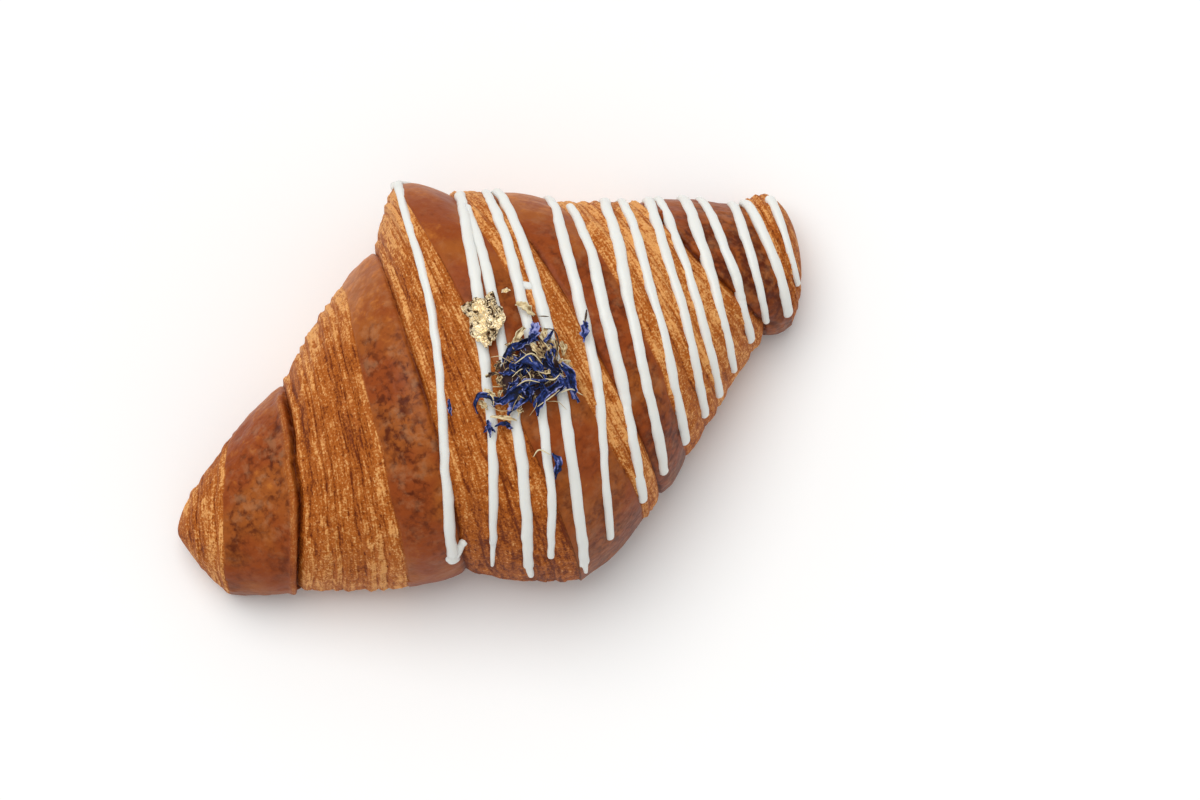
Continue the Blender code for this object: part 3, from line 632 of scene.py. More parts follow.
def top_height(x, y):
    """Height of the dough under a place on the plan, in mm."""
    x, y = np.broadcast_arrays(np.asarray(x, float), np.asarray(y, float))
    turn = turn_at(x, y)
    wrap = wrap_at(x, turn)
    return skin_point(wrap, turn, swell_at(wrap))[..., 2]


def smooth_noise(u, v, seed, period=64):
    """Smooth random values from 0 to 1: a number at each whole place of a grid, blended between. The grid
    repeats after 64 steps of u and after the given period of v."""
    table = np.random.default_rng(seed).random((64, period))
    i, j = np.floor(u).astype(int), np.floor(v).astype(int)
    s, t = u - i, v - j
    s, t = s * s * (3 - 2 * s), t * t * (3 - 2 * t)
    corner = [[table[(i + a) % 64, (j + b) % period] for b in (0, 1)] for a in (0, 1)]
    near = corner[0][0] * (1 - s) + corner[1][0] * s
    far = corner[0][1] * (1 - s) + corner[1][1] * s
    return near * (1 - t) + far * t


def ease(value, start, end):
    """0 before start, 1 after end, and a smooth rise between them."""
    share = np.clip((value - start) / (end - start), 0, 1)
    return share * share * (3 - 2 * share)


def gape(turn, start, end):
    """How far a crack is open at this turn: fully between start and end, closing evenly beyond them."""
    degrees = np.degrees(turn)
    return np.clip(np.minimum(degrees - start, end - degrees) / CRACK_CLOSES + 1, 0, 1)


def by_turn(table, zone, turn):
    """A value that each zone has at the back, on top and in front, carried smoothly round the roll."""
    back, top, front = np.array(table).T[:, zone]
    side = np.cos(turn)
    return np.where(side > 0, top + (back - top) * side**2, top + (front - top) * side**2)


def crust_relief(wrap, turn, settings):
    """Relief in mm and marks of the crust. On a cut edge, layers of uneven width step over each other like
    roof tiles, each a sawtooth with a rounded lip whose height varies, and thin leaves and crumb lie on them.
    A glazed face has low blisters. A crease runs where a cut edge rises from a face. Returns the relief, and
    by name the layered share, the tone and how mottled it is."""
    depth, leaf, blister = (v / MM for v in (settings.layer_depth, settings.leaf_depth, settings.blister))
    round_share = (turn - pi / 2) / (2 * pi)
    along = place_along(wrap, np.full_like(turn, pi / 2))

    def chance(u, steps, seed):
        """Noise from 0 to 1 over a coordinate and, in this many steps, round the roll."""
        return smooth_noise(u, round_share * steps, seed, steps)

    wobble = LINE_WOBBLE * (chance(wrap * 0.9, 24, 20) - 0.5)
    shape = np.clip(wrap + wobble * np.clip(np.abs(wrap - SPLIT_LINE) / 0.2, 0, 1), 0, len(ZONES))
    zone = np.clip(shape.astype(int), 0, len(ZONES) - 1)
    share = shape - zone
    inside = np.minimum(share, 1 - share)
    layers = np.array(ZONES)[zone]
    cut = layers != FACE
    count = np.where(cut, layers, 1)
    outward = np.where(zone < len(ZONES) / 2, 1 - share, share)

    wander = ROUND_WANDER * (chance(zone * 3.1 + 0.5, 12, 1) - 0.5)
    wander = wander + ALONG_WANDER * (chance(along / 3.0, 44, 2) - 0.5)
    wander = wander + WAVE_WANDER * np.sin(2.3 * outward * count + zone)
    place = outward * count + wander * np.clip(inside / 0.12, 0, 1)
    layer = np.floor(place)
    step = place - layer
    least, more = LAYER_STRENGTH
    strength = least + more * chance(layer * 5.3 + zone * 7.7, 14, 3)
    tooth = np.where(step < LIP_AT, step / LIP_AT, (1 - step) / (1 - LIP_AT)) - LAYER_MEAN

    split = LEAVES[0] + np.floor(LEAVES[1] * smooth_noise(layer * 3.7 + zone * 2.3, 0 * turn, 4, 1))
    leaf_place = step * split + LEAF_WANDER * (chance(along / 1.6, 70, 5) - 0.5)
    leaf_step = leaf_place - np.floor(leaf_place)
    leaf_strength = LEAF_STRENGTH + chance(np.floor(leaf_place) * 4.1 + layer * 9.7, 26, 6)
    crease = np.abs(2 * leaf_step - 1) ** 3 * leaf_strength

    crumb = (chance(along / 0.45, 300, 7) + chance(along, 150, 8)) / 2 - 0.5
    low = chance(along / 6.0 + 9.0, 30, 9) - 0.5
    mid = chance(along / 2.6, 64, 10) - 0.5
    fine = chance(along / 1.1, 150, 11) - 0.5
    pale = ease(step, 0.02, 0.22) * (1 - ease(step, 0.5, 0.8))
    pale = pale * ease(chance(layer * 6.1 + zone * 3.3 + 2.0, 12, 12), 0.15, 0.6)

    on_dark, on_pale = CRUMB_RELIEF
    cut_out = depth * tooth * strength - leaf * crease + (on_dark + on_pale * pale) * crumb + HEAVE * low
    face_out = blister * sum(weight * wave for weight, wave in zip(FACE_WAVES, (low, mid, fine)))
    out = np.where(cut, cut_out, face_out)

    foot = np.zeros_like(out)
    top_lines = np.array(EDGE_LINES)[:, 1]
    for line in FOOT_LINES:
        before, after = top_lines[line] - top_lines[line - 1], top_lines[line + 1] - top_lines[line]
        away = np.abs(shape - line) * np.where(shape < line, before, after)
        foot = foot + np.exp(-((away / FOOT_WIDTH) ** 2))
    groove = np.zeros_like(out)
    lip = np.zeros_like(out)
    for line, side, start, end, size in CRACKS:
        open_share = size * gape(turn, start, end)
        past = (shape - line) * side
        groove = groove + np.exp(-((past / CRACK_WIDTH) ** 2)) * open_share
        lip = lip + np.exp(-(((past - LIP_PAST) / LIP_WIDTH) ** 2)) * open_share
    out = out - FOOT_DEPTH * foot - CRACK_DEPTH * groove * (0.8 + 0.9 * crumb) + LIP_HEIGHT * lip
    ends = np.clip(np.minimum(wrap, len(ZONES) - wrap) / TIP_FADE, 0, 1)
    out = swell_at(wrap) + out * ends

    # Painted light and shade: the zones' tones run paler at the back and darker in front, partly their own
    # browning.
    tones, cover = (by_turn(column, zone, turn) for column in zip(*ZONE_TONES))
    own = smooth_noise(layer * 8.3 + zone * 5.9, round_share * 5, 13, 5) - 0.5
    # Painted shade: darker in the creases between leaves and, below, at the drop at each layer's edge.
    cut_tone = tones + TONE["cut"] + TONE["pale"] * pale * cover + TONE["own"] * own + TONE["leaf"] * crease
    cut_tone = cut_tone + TONE["edge"] * ease(step, 0.9, 1.0) * strength
    cut_tone = cut_tone + TONE["crumb"] * crumb * (0.5 + pale) + TONE["cut_mid"] * mid
    face_tone = tones + TONE["face_low"] * low + TONE["face_mid"] * mid
    tone = np.where(cut, cut_tone, face_tone)
    # Painted shade: darker in the foot crease and in the cracks.
    tone = tone + TONE["foot"] * foot + TONE["groove"] * groove + TONE["lip"] * lip
    layered = np.where(cut, ease(inside, -BLEND, BLEND), 0.0) + LIP_LAYERED * ease(lip, 0.3, 0.7)
    mottled = np.where(cut, 0.0, cover) * (1 - 0.6 * ease(inside, 0.12, 0.0))
    return out, {"layered": np.clip(layered, 0, 1), "tone": np.clip(tone, 0, 1), "mottled": mottled}


def crust_turns():
    """Turns round the roll of the grid's columns, from under the back over the top to under the front: close
    together above, where the skin shows, and wider apart on the base."""
    start = -radians(BASE_FROM)
    top = np.linspace(start, pi - start, TOP_COLUMNS, endpoint=False)
    base = np.linspace(pi - start, 2 * pi + start, BASE_COLUMNS, endpoint=False)
    return np.concatenate([base - 2 * pi, top])


def crust_rows(first, last):
    """Wrap coordinates of the grid's rows between two lines: close together on cut edges."""
    rows = []
    for zone in range(first, last):
        width = abs(EDGE_LINES[zone + 1][1] - EDGE_LINES[zone][1])
        number = int(width / (FACE_ROW if ZONES[zone] == FACE else CUT_ROW))
        rows.append(zone + np.arange(number) / number)
    rows = np.concatenate([*rows, [last]])
    return rows[(rows > TIP_CUT) & (rows < len(ZONES) - TIP_CUT)]


def put_piece(name, points, faces, material, slot, marks=None, corner_uv=None):
    """One mesh object from points in mm, shaded smooth, with point attributes and a UV map, riding on the
    root body and taking the given material. The slot is not used."""
    mesh = bpy.data.meshes.new(name)
    points = (np.asarray(points, float) + ORIGIN_SHIFT) * MM
    corners = np.concatenate([np.asarray(block).ravel() for block in faces])
    sizes = np.concatenate([np.full(len(block), np.shape(block)[1]) for block in faces])
    starts = np.concatenate([[0], np.cumsum(sizes)[:-1]])
    mesh.vertices.add(len(points))
    mesh.vertices.foreach_set("co", points.astype(np.float32).ravel())
    mesh.loops.add(len(corners))
    mesh.loops.foreach_set("vertex_index", corners.astype(np.int32))
    mesh.polygons.add(len(sizes))
    mesh.polygons.foreach_set("loop_start", starts.astype(np.int32))
    mesh.polygons.foreach_set("use_smooth", np.ones(len(sizes), bool))
    mesh.update(calc_edges=True)
    for mark, values in (marks or {}).items():
        attribute = mesh.attributes.new(mark, "FLOAT", "POINT")
        attribute.data.foreach_set("value", np.asarray(values, np.float32).ravel())
    if corner_uv is not None:
        layer = mesh.uv_layers.new(name="surface")
        layer.data.foreach_set("uv", np.asarray(corner_uv, np.float32).ravel())
    mesh.validate()
    mesh.materials.append(material)
    piece = bpy.data.objects.new(name, mesh)
    bpy.context.scene.collection.objects.link(piece)
    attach(piece, "root")
    return piece


def ring_faces(rows, columns):
    """Quads between neighbouring closed rings, as indices of points laid row by row."""
    row, column = np.meshgrid(np.arange(rows - 1), np.arange(columns), indexing="ij")
    a = row * columns + column
    b = row * columns + (column + 1) % columns
    return np.stack([a, b, b + columns, a + columns], axis=-1).reshape(-1, 4)


def ring_ends(rows, columns):
    """Triangles from the first ring and from the last ring to a point each, stored after the rings."""
    column = np.arange(columns)
    after = (column + 1) % columns
    start, end = rows * columns, rows * columns + 1
    base = (rows - 1) * columns
    head = np.stack([np.full(columns, start), after, column], axis=-1)
    tail = np.stack([np.full(columns, end), base + column, base + after], axis=-1)
    return np.concatenate([head, tail])


def crust_piece(name, first, last, material, settings):
    """The crust between two lines as a closed shell: rings along the wrap coordinate, a pole at the roll's
    tip, and at the inner end a tucked edge that dives under its neighbour and closes inside the roll."""
    rows = crust_rows(first, last)
    turns = crust_turns()
    wrap, turn = np.meshgrid(rows, turns, indexing="ij")
    relief, marks = crust_relief(wrap, turn, settings)
    points = skin_point(wrap, turn, relief)
    at_start = first != 0
    inner = points[0 if at_start else -1]
    steps = np.arange(1, TUCK_ROWS + 1)
    shares = (steps / TUCK_ROWS)[:, None, None]
    tuck = inner + (inner.mean(axis=0) - inner) * TUCK_SINKS[at_start] * shares * (0, 1, 1)
    if at_start:
        tuck = tuck + TUCK_REACH * shares * (1, 0, 0)
    tuck[..., 2] = np.maximum(tuck[..., 2], TUCK_LEVEL)
    line = EDGE_LINES[-1 if at_start else 0]
    pole = np.array([line[0], line[3], line[5]])
    if at_start:
        points = np.concatenate([tuck[::-1], points])
        poles = [points[0].mean(axis=0), pole]
        rows = np.concatenate([rows[0] - TUCK_STEP * steps[::-1], rows])
    else:
        points = np.concatenate([points, tuck])
        poles = [pole, points[-1].mean(axis=0)]
        rows = np.concatenate([rows, rows[-1] + TUCK_STEP * steps])
    extra = (TUCK_ROWS, 0) if at_start else (0, TUCK_ROWS)
    marks = {mark: np.pad(v, (extra, (0, 0)), mode="edge") for mark, v in marks.items()}
    marks = {mark: np.concatenate([v.ravel(), v[[0, -1], 0]]) for mark, v in marks.items()}
    quads, ends = ring_faces(len(rows), len(turns)), ring_ends(len(rows), len(turns))
    uv = crust_uv(rows, turns, quads, ends)
    points = np.concatenate([points.reshape(-1, 3), poles])
    return put_piece(name, points, [quads, ends], material, "baked_dough", marks, uv)


def crust_uv(rows, turns, quads, ends):
    """Corner coordinates in metres: along the roll, and round it at its own radius. The seam lies under the
    roll, where the last column meets the first."""
    count, columns = len(rows), len(turns)
    along = np.interp(rows, np.arange(len(EDGE_LINES)), [line[1] for line in EDGE_LINES])
    _middle, half, _low, _high = section_at(np.clip(rows, 0, len(ZONES)))
    around = np.append(turns, turns[0] + 2 * pi) - pi / 2
    u = np.repeat(along[:, None], columns + 1, axis=1)
    v = half[:, None] * around[None]
    grid = np.stack([u, v], axis=-1) * MM
    row, column = np.divmod(quads, columns)
    at_seam = (column == 0) & (np.max(column, axis=1) == columns - 1)[:, None]
    quad_uv = grid[row, np.where(at_seam, columns, column)]
    is_pole = ends >= count * columns
    end_uv = grid[np.divmod(np.where(is_pole, 0, ends), columns)]
    end_uv = np.where(is_pole[..., None], end_uv[:, 1:2], end_uv)
    return np.concatenate([quad_uv.reshape(-1, 2), end_uv.reshape(-1, 2)])


def baked_dough(settings):
    """Egg-washed laminated dough, baked: chestnut, softly glossy faces with dark oven spots, and golden, matt
    cut edges whose thin leaves and open crumb give fine stripes and specks. Browning is in the base colour,
    together with painted light and shade carried by the tones, a painted sheen in pale patches and a painted
    highlight on each blister's middle; gloss falls where the layers are cut open, and the crumb is a fine
    bump."""
    material, tree, shader = new_material("egg_washed_dough")
    layered, tone, mottled = (mark_value(tree, mark) for mark in ("layered", "tone", "mottled"))
    where = add_node(tree, "ShaderNodeTexCoord")
    solid = where.outputs["Object"]
    strands = add_node(tree, "ShaderNodeMapping", {"Vector": where.outputs["UV"], "Scale": (1.0, 0.09, 1.0)})
    strands = strands.outputs[0]
    grain, total, moved, rise, blend = (partial(step, tree) for step in (noise, maths, shifted, ramp, mix))

    leaf_lines = grain(strands, 0.7, detail=2.0, roughness=0.55, distortion=0.4)
    threads = grain(strands, 0.35, detail=2.0, roughness=0.6)
    pores = grain(solid, 0.48, detail=2.0, roughness=0.7)
    wrinkle = grain(solid, 1.1, detail=3.0, roughness=0.6)
    flakes = grain(solid, 1.5, detail=3.0, roughness=0.65)
    spots = grain(solid, 1.9, detail=4.0, roughness=0.6, distortion=0.5)
    sheen_patches = grain(solid, 3.6, detail=4.0, roughness=0.65)
    clouds = grain(solid, 9.0, detail=3.0, roughness=0.5)
    hues = grain(solid, 14.0, detail=2.0)
    bent = {0: grain(solid, 2.5, output=1, detail=2.0), 1: (3.0 * MM,) * 3, 2: solid}
    bent = add_node(tree, "ShaderNodeVectorMath", bent, operation="MULTIPLY_ADD").outputs[0]
    blisters = add_node(tree, "ShaderNodeTexVoronoi", {"Vector": bent, "Scale": 1 / (2.0 * MM)}, feature="F1")
    cells = total("MULTIPLY", total("SUBTRACT", 0.42, blisters.outputs["Distance"]), mottled)

    oven = total("MULTIPLY", rise(total("MULTIPLY_ADD", clouds, 0.5, spots), 0.66, 0.84), mottled)
    face_value = moved(moved(tone, clouds, 0.5), flakes, 0.45)
    face_value = total("MULTIPLY_ADD", oven, -0.24, face_value)
    # Painted highlight: each blister is painted paler towards its raised middle.
    face_value = total("MULTIPLY_ADD", cells, 0.42, face_value)
    middle = blend(rise(hues, 0.42, 0.58), tuple(settings.face_red), tuple(settings.face_gold))
    face = three_tones(tree, face_value, (tuple(settings.face_dark), middle, tuple(settings.face_light)))
    # Painted sheen: pale patches on the mottled faces, where the blisters would reflect the light.
    sheen_patches = total("MULTIPLY", rise(sheen_patches, 0.48, 0.7), mottled)
    face = blend(total("MULTIPLY", sheen_patches, 0.4), face, tuple(settings.glaze_sheen))
    cut_value = tone
    for source, weight in ((leaf_lines, 0.8), (pores, 1.25), (flakes, 0.5), (clouds, 0.4), (threads, 0.65)):
        cut_value = moved(cut_value, source, weight)
    cut_tones = (tuple(tint) for tint in (settings.cut_dark, settings.cut_mid, settings.cut_light))
    cut = three_tones(tree, cut_value, cut_tones)
    specks = total("MULTIPLY", rise(pores, 0.55, 0.68), rise(cut_value, 0.3, 0.8))
    cut = blend(total("MULTIPLY", specks, 0.32), cut, tuple(settings.crumb))
    tree.links.new(blend(layered, face, cut), shader.inputs["Base Color"])

    rough = total("MULTIPLY_ADD", layered, 0.2, 0.42)
    tree.links.new(moved(rough, spots, 0.2), shader.inputs["Roughness"])
    height = total("MULTIPLY", total("ADD", total("MULTIPLY", leaf_lines, 1.3), pores), layered)
    height = total("MULTIPLY_ADD", wrinkle, 0.45, total("MULTIPLY_ADD", cells, 0.9, height))
    bumped(tree, shader, height, 0.6, 0.3)
    set_values(shader, {"IOR": 1.45, "Specular IOR Level": 0.13, "Coat Weight": 0.03, "Coat Roughness": 0.3})
    return material


def skin_frame(x, turn):
    """Points of the smooth skin at places along X and turns, and the outward direction at each."""
    wrap = wrap_at(x, turn)
    small = 0.01
    around = skin_point(wrap, turn + small, swell_at(wrap)) - skin_point(wrap, turn - small, swell_at(wrap))
    near, far = wrap - small, wrap + small
    along = skin_point(far, turn, swell_at(far)) - skin_point(near, turn, swell_at(near))
    return skin_point(wrap, turn, swell_at(wrap)), unit(np.cross(along, around))


def icing_path(number, steps, tail=None):
    """Points along a piped line and the outward direction at each: X sways off a parabola in the place
    across the roll. A tail runs between its own turns."""
    at_back, at_middle, at_front, start, end = ICING_LINES[number]
    start, end = tail or (start, end)
    turn = np.radians(np.linspace(start, end, steps))
    x = np.full(steps, float(at_middle))
    for _ in range(8):
        wrap = wrap_at(x, turn)
        middle, half, _low, _high = section_at(wrap)
        y = skin_point(wrap, turn, swell_at(wrap))[:, 1]
        lean = np.clip((y - middle) / half, -1, 1)
        x = at_middle + (at_back - at_front) / 2 * lean + ((at_back + at_front) / 2 - at_middle) * lean**2
        x = x + np.interp(-lean, SWAY_PLACES, ICING_SWAYS[number])
    return skin_frame(x, turn)


def waves_along(far, row, waves):
    """Noise about zero along a line of its own row, from waves with a length, a weight and a seed."""
    return sum(weight * (smooth_noise(far / size, row, seed) - 0.5) for size, weight, seed in waves)


def icing_strand(number, points, outward, half, height, waver):
    """Icing along a path in mm: a low dome with rounded, blobby ends. Its half width and height are given at
    each point, uneven by a slow and a quick noise, and it wavers a little sideways."""
    run = unit(np.gradient(points, axis=0))
    across = np.cross(outward, run)
    far = np.concatenate([[0], np.cumsum(np.linalg.norm(np.diff(points, axis=0), axis=1))])
    row = np.full_like(far, number + 0.5)
    aside = waver * waves_along(far, row, ICING_WAVERS)
    uneven = 1 + waves_along(far, row, ICING_UNEVEN)
    half = half * uneven
    tip = np.minimum(far, far[-1] - far) / np.maximum(half, 0.3)
    closed = np.sqrt(np.clip(1 - (1 - np.clip(tip, 0, 1)) ** 2, 0.02, 1))
    half, height = half * closed, height * np.sqrt(uneven) * closed
    centre = points + aside[:, None] * across
    angle = np.arange(ICING_SIDES) * 2 * pi / ICING_SIDES + pi / 2
    side, rise = np.cos(angle), np.sin(angle)
    rise = np.where(rise > 0, np.abs(rise) ** 0.9, -0.75 * np.abs(rise))
    rings = (
        centre[:, None]
        + side[None, :, None] * half[:, None, None] * across[:, None]
        + rise[None, :, None] * height[:, None, None] * outward[:, None]
    )
    ends = [centre[0] - 0.2 * run[0], centre[-1] + 0.2 * run[-1]]
    faces = [ring_faces(len(points), ICING_SIDES), ring_ends(len(points), ICING_SIDES)]
    return np.concatenate([rings.reshape(-1, 3), ends]), faces, 0.0


def icing_strands(settings):
    """All the icing: the piped lines, whose width runs through three given shares, their tails, and the dabs
    and bridges beside them."""
    width, height = settings.width / MM, settings.height / MM
    strands = []
    for number, shares in enumerate(ICING_SHARES):
        path = icing_path(number, ICING_STEPS)
        share = np.interp(np.linspace(0, 1, ICING_STEPS), (0, 0.5, 1), shares)
        strands.append(icing_strand(number, *path, width * share / 2, height * np.sqrt(share), LINE_WAVER))
    for number, start, end, wide, narrow in ICING_TAILS:
        path = icing_path(number, DAB_STEPS, (start, end))
        half = np.linspace(wide, narrow, DAB_STEPS) / 2
        strands.append(icing_strand(number, *path, half, TAIL_HEIGHT * height, 0.0))
    for number, (x_start, start, x_end, end, wide) in enumerate(ICING_DABS + ICING_BRIDGES, len(ICING_LINES)):
        x, turn = np.linspace(x_start, x_end, DAB_STEPS), np.radians(np.linspace(start, end, DAB_STEPS))
        path = skin_frame(x, turn)
        strands.append(icing_strand(number, *path, np.full(DAB_STEPS, wide / 2), DAB_HEIGHT * height, 0.0))
    return strands


def sugar_icing(settings):
    """Set sugar icing, piped from a thin nozzle: opaque white with a satin skin, faintly warm, with light
    scattered just under the surface."""
    material, tree, shader = new_material("set_sugar_icing")
    where = add_node(tree, "ShaderNodeTexCoord").outputs["Object"]
    body = tuple(settings.body)
    warm = tuple(c * f for c, f in zip(body, (0.97, 0.94, 0.91, 1.0)))
    tint = mix(tree, noise(tree, where, 4.0, detail=3.0), body, warm)
    tree.links.new(tint, shader.inputs["Base Color"])
    bumped(tree, shader, noise(tree, where, 1.5, detail=2.0), 0.25, 0.3)
    set_values(shader, {"Roughness": 0.42, "IOR": 1.49, "Subsurface Weight": 0.25})
    set_values(shader, {"Subsurface Radius": (1.0, 0.9, 0.75), "Subsurface Scale": 0.8 * MM})
    return material


def icing_plan():
    """All piped lines as one cloud of points on the plan, close enough together to measure distances to."""
    return np.vstack([icing_path(number, PLAN_STEPS)[0][:, :2] for number in range(len(ICING_LINES))])


def clear_level(x, y, cloud):
    """The lowest level for a topping: a gap over the dough, raised to a gap over each piped line beneath."""
    x, y = np.broadcast_arrays(np.asarray(x, float), np.asarray(y, float))
    away = np.min(np.hypot(x[..., None] - cloud[:, 0], y[..., None] - cloud[:, 1]), axis=-1)
    near, far = ICING_CLEAR
    return top_height(x, y) + NODE_GAP + ICING_RISE * np.clip((far - away) / (far - near), 0, 1)


def thin_sheet(front, thickness):
    """A closed thin sheet from a grid of points: the grid, its copy set back along the surface's direction,
    and a rim round both. Returns points and quads."""
    n, m = front.shape[:2]
    normal = unit(np.cross(np.gradient(front, axis=0), np.gradient(front, axis=1)))
    back = front - thickness * normal
    points = np.concatenate([front.reshape(-1, 3), back.reshape(-1, 3)])
    i, j = np.meshgrid(np.arange(n - 1), np.arange(m - 1), indexing="ij")
    a = (i * m + j).ravel()
    face = np.stack([a, a + m, a + m + 1, a + 1], axis=-1)
    rim = np.concatenate(
        [np.arange(m - 1), m * np.arange(1, n) - 1, n * m - 1 - np.arange(m - 1), m * np.arange(n - 1, 0, -1)]
    )
    ahead = np.roll(rim, -1)
    count = n * m
    wall = np.stack([rim, ahead, ahead + count, rim + count], axis=-1)
    return points, np.concatenate([face, face[:, ::-1] + count, wall])


def middle_line(places, heights, steps, cloud):
    """A smooth line through places on the plan, at heights over what lies beneath that run through three
    values. Between two places it follows the cubic whose slopes there are taken from its neighbours."""
    places = np.array(places)
    slopes = np.gradient(places, axis=0)
    at = np.linspace(0, len(places) - 1, steps)
    i = np.minimum(at.astype(int), len(places) - 2)
    s = (at - i)[:, None]
    plan = (
        (1 + 2 * s) * (1 - s) ** 2 * places[i]
        + s * (1 - s) ** 2 * slopes[i]
        + s**2 * (3 - 2 * s) * places[i + 1]
        - s**2 * (1 - s) * slopes[i + 1]
    )
    rise = np.interp(np.linspace(0, 1, steps), (0, 0.5, 1), heights)
    level = clear_level(plan[:, 0], plan[:, 1], cloud)
    level = np.convolve(np.pad(level, 2, mode="edge"), np.full(5, 0.2), mode="valid")
    return np.column_stack([plan, level + rise - NODE_GAP + 0.1])


def directions(spine):
    """Level across a line, and up from it, at each of its points."""
    run = unit(np.gradient(spine, axis=0))
    flat = unit(np.cross((0, 0, 1), run))
    return flat, np.cross(run, flat)


def ribbon(number, places, heights, width, twist, shade, cloud):
    """A dried petal or scale: a thin sheet along its middle line, narrow at the throat and torn to uneven
    points at the far end, folded to a gutter, crinkled, and turned about itself. Its shade is dark in the
    fold and faded at both edges, and the crinkles carry painted shade in their dips and painted light on
    their rises."""
    steps, columns = PETAL_GRID
    spine = middle_line(places, heights, steps, cloud)
    s, t = np.meshgrid(np.linspace(0, 1, steps), np.linspace(-1, 1, columns), indexing="ij")
    flat, up = directions(spine)
    row = np.full_like(s, number + 0.5)
    spin = twist * (2 * s - 1) + 0.5 * (smooth_noise(4 * s, row, 41) - 0.5)
    side = flat[:, None] * np.cos(spin)[..., None] + up[:, None] * np.sin(spin)[..., None]
    lift = up[:, None] * np.cos(spin)[..., None] - flat[:, None] * np.sin(spin)[..., None]
    body = 0.35 + 0.65 * np.sin(pi * np.clip(0.08 + 0.72 * s, 0, 1)) ** 1.2
    tear = smooth_noise(3.2 * (t + 1) + 2 * number, np.full_like(s, 0.5), 42)
    body = body * (1 - ease(s, 0.5 + 0.45 * tear, 0.65 + 0.45 * tear) * 0.7)
    edge = 1 + 0.8 * (smooth_noise(11 * s + 7 * number, 2.2 * np.sign(t) + 3, 43) - 0.5)
    half = 0.9 * width / 2 * body * edge
    wrinkle = smooth_noise(7 * s + 5 * number, 2.6 * t + 6, 44) - 0.5
    gutter = (0.85 * t**2 + 0.9 * wrinkle) * half
    grid = spine[:, None] + side * (half * t)[..., None] + lift * gutter[..., None]
    fade = smooth_noise(5 * s + 3 * number, np.sign(t) + 9, 45)
    # Painted shade and light: darker where the crinkles dip and paler where they rise.
    tone = shade + 1.5 * np.clip(fade - 0.35, 0, 1) * np.abs(t) ** 5 + 1.1 * wrinkle - 0.12
    points, faces = thin_sheet(grid, PETAL_THICKNESS)
    return points, [faces], np.tile(np.clip(tone, 0, 1).ravel(), 2)


def thread(places, heights, thickness, shade, cloud):
    """A fine dry thread along its middle line: rings of a few points, thinner towards both ends."""
    steps, sides = THREAD_GRID
    spine = middle_line(places, heights, steps, cloud)
    flat, up = directions(spine)
    angle = np.arange(sides) * 2 * pi / sides
    thick = thickness / 2 * (0.4 + 0.6 * np.sin(pi * np.linspace(0, 1, steps)))
    ring = np.cos(angle)[None, :, None] * flat[:, None] + np.sin(angle)[None, :, None] * up[:, None]
    rings = spine[:, None] + thick[:, None, None] * ring
    points = np.concatenate([rings.reshape(-1, 3), [spine[0], spine[-1]]])
    return points, [ring_faces(steps, sides), ring_ends(steps, sides)], shade


def shade_mound(cloud):
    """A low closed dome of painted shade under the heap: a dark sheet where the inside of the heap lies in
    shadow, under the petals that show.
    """
    rings, columns = MOUND_GRID
    angle = np.arange(columns) * 2 * pi / columns
    share, angle = np.meshgrid(np.linspace(1, 0.06, rings), angle, indexing="ij")
    x, y = heap_place(angle, MOUND_RADIUS * share)
    bump = smooth_noise(x * 0.9 + 20, y * 0.9 + 40, 51) + 0.5 * smooth_noise(x * 2.2 + 20, y * 2.2 + 60, 52)
    level = clear_level(x, y, cloud) - 0.1
    top = level + MOUND_HEIGHT * np.sqrt(1 - share**2) * (0.4 + 0.8 * bump)
    over = np.stack([x, y, top], axis=-1)
    under = np.stack([x, y, level - 0.1], axis=-1)
    grid = np.concatenate([under[::-1], over])
    points = np.concatenate([grid.reshape(-1, 3), [under[-1].mean(axis=0), over[-1].mean(axis=0)]])
    # Painted light: the mound is paler on its bumps.
    faded = 0.3 * np.clip(bump - 0.4, 0, 1).ravel()
    tone = MOUND_SHADE_TONE + np.concatenate([np.zeros(share.size), faded, [0, 0.1]])
    return points, [ring_faces(2 * rings, columns), ring_ends(2 * rings, columns)], tone


def dried_flower(name, tones, veined):
    """Dried flower parts: matt and thin, with fine veins of the given strength and colour that goes from
    shaded folds to faded edges, by the part's own shade."""
    material, tree, shader = new_material(name)
    where = add_node(tree, "ShaderNodeTexCoord").outputs["Object"]
    vein = noise(tree, where, 0.6, detail=2.0, roughness=0.6)
    value = shifted(tree, mark_value(tree, "shade"), vein, veined)
    tree.links.new(three_tones(tree, value, tones, "LINEAR"), shader.inputs["Base Color"])
    bumped(tree, shader, vein, 0.4, 0.1)
    set_values(shader, {"Roughness": 0.75, "Specular IOR Level": 0.3})
    return material


def gold_leaf_finish(settings):
    """Beaten gold leaf, crumpled: a metal with no clear gloss of its own. Its colour is pale and bright on
    every small facet and brown to black in the creases between them: painted light and painted shade that
    stand in for the bright and dark reflections of the folds."""
    material, tree, shader = new_material("beaten_gold_leaf")
    where = add_node(tree, "ShaderNodeTexCoord").outputs["Object"]
    grain = noise(tree, where, 0.6, detail=3.0, roughness=0.75)
    bumped(tree, shader, grain, 0.8, 0.3)
    body = tuple(settings.gold)
    # Painted shade: the dark tint of the creases, standing in for the dark reflections in the folds.
    crease_shade = tuple(c * f for c, f in zip(body, (0.09, 0.05, 0.03, 1.0)))
    value = maths(tree, "MULTIPLY_ADD", grain, 0.6, mark_value(tree, "shade"))
    tint = mix(tree, ramp(tree, value, 0.6, 0.9, "LINEAR"), crease_shade, body)
    tree.links.new(tint, shader.inputs["Base Color"])
    set_values(shader, {"Metallic": 1.0, "Roughness": 0.34})
    return material


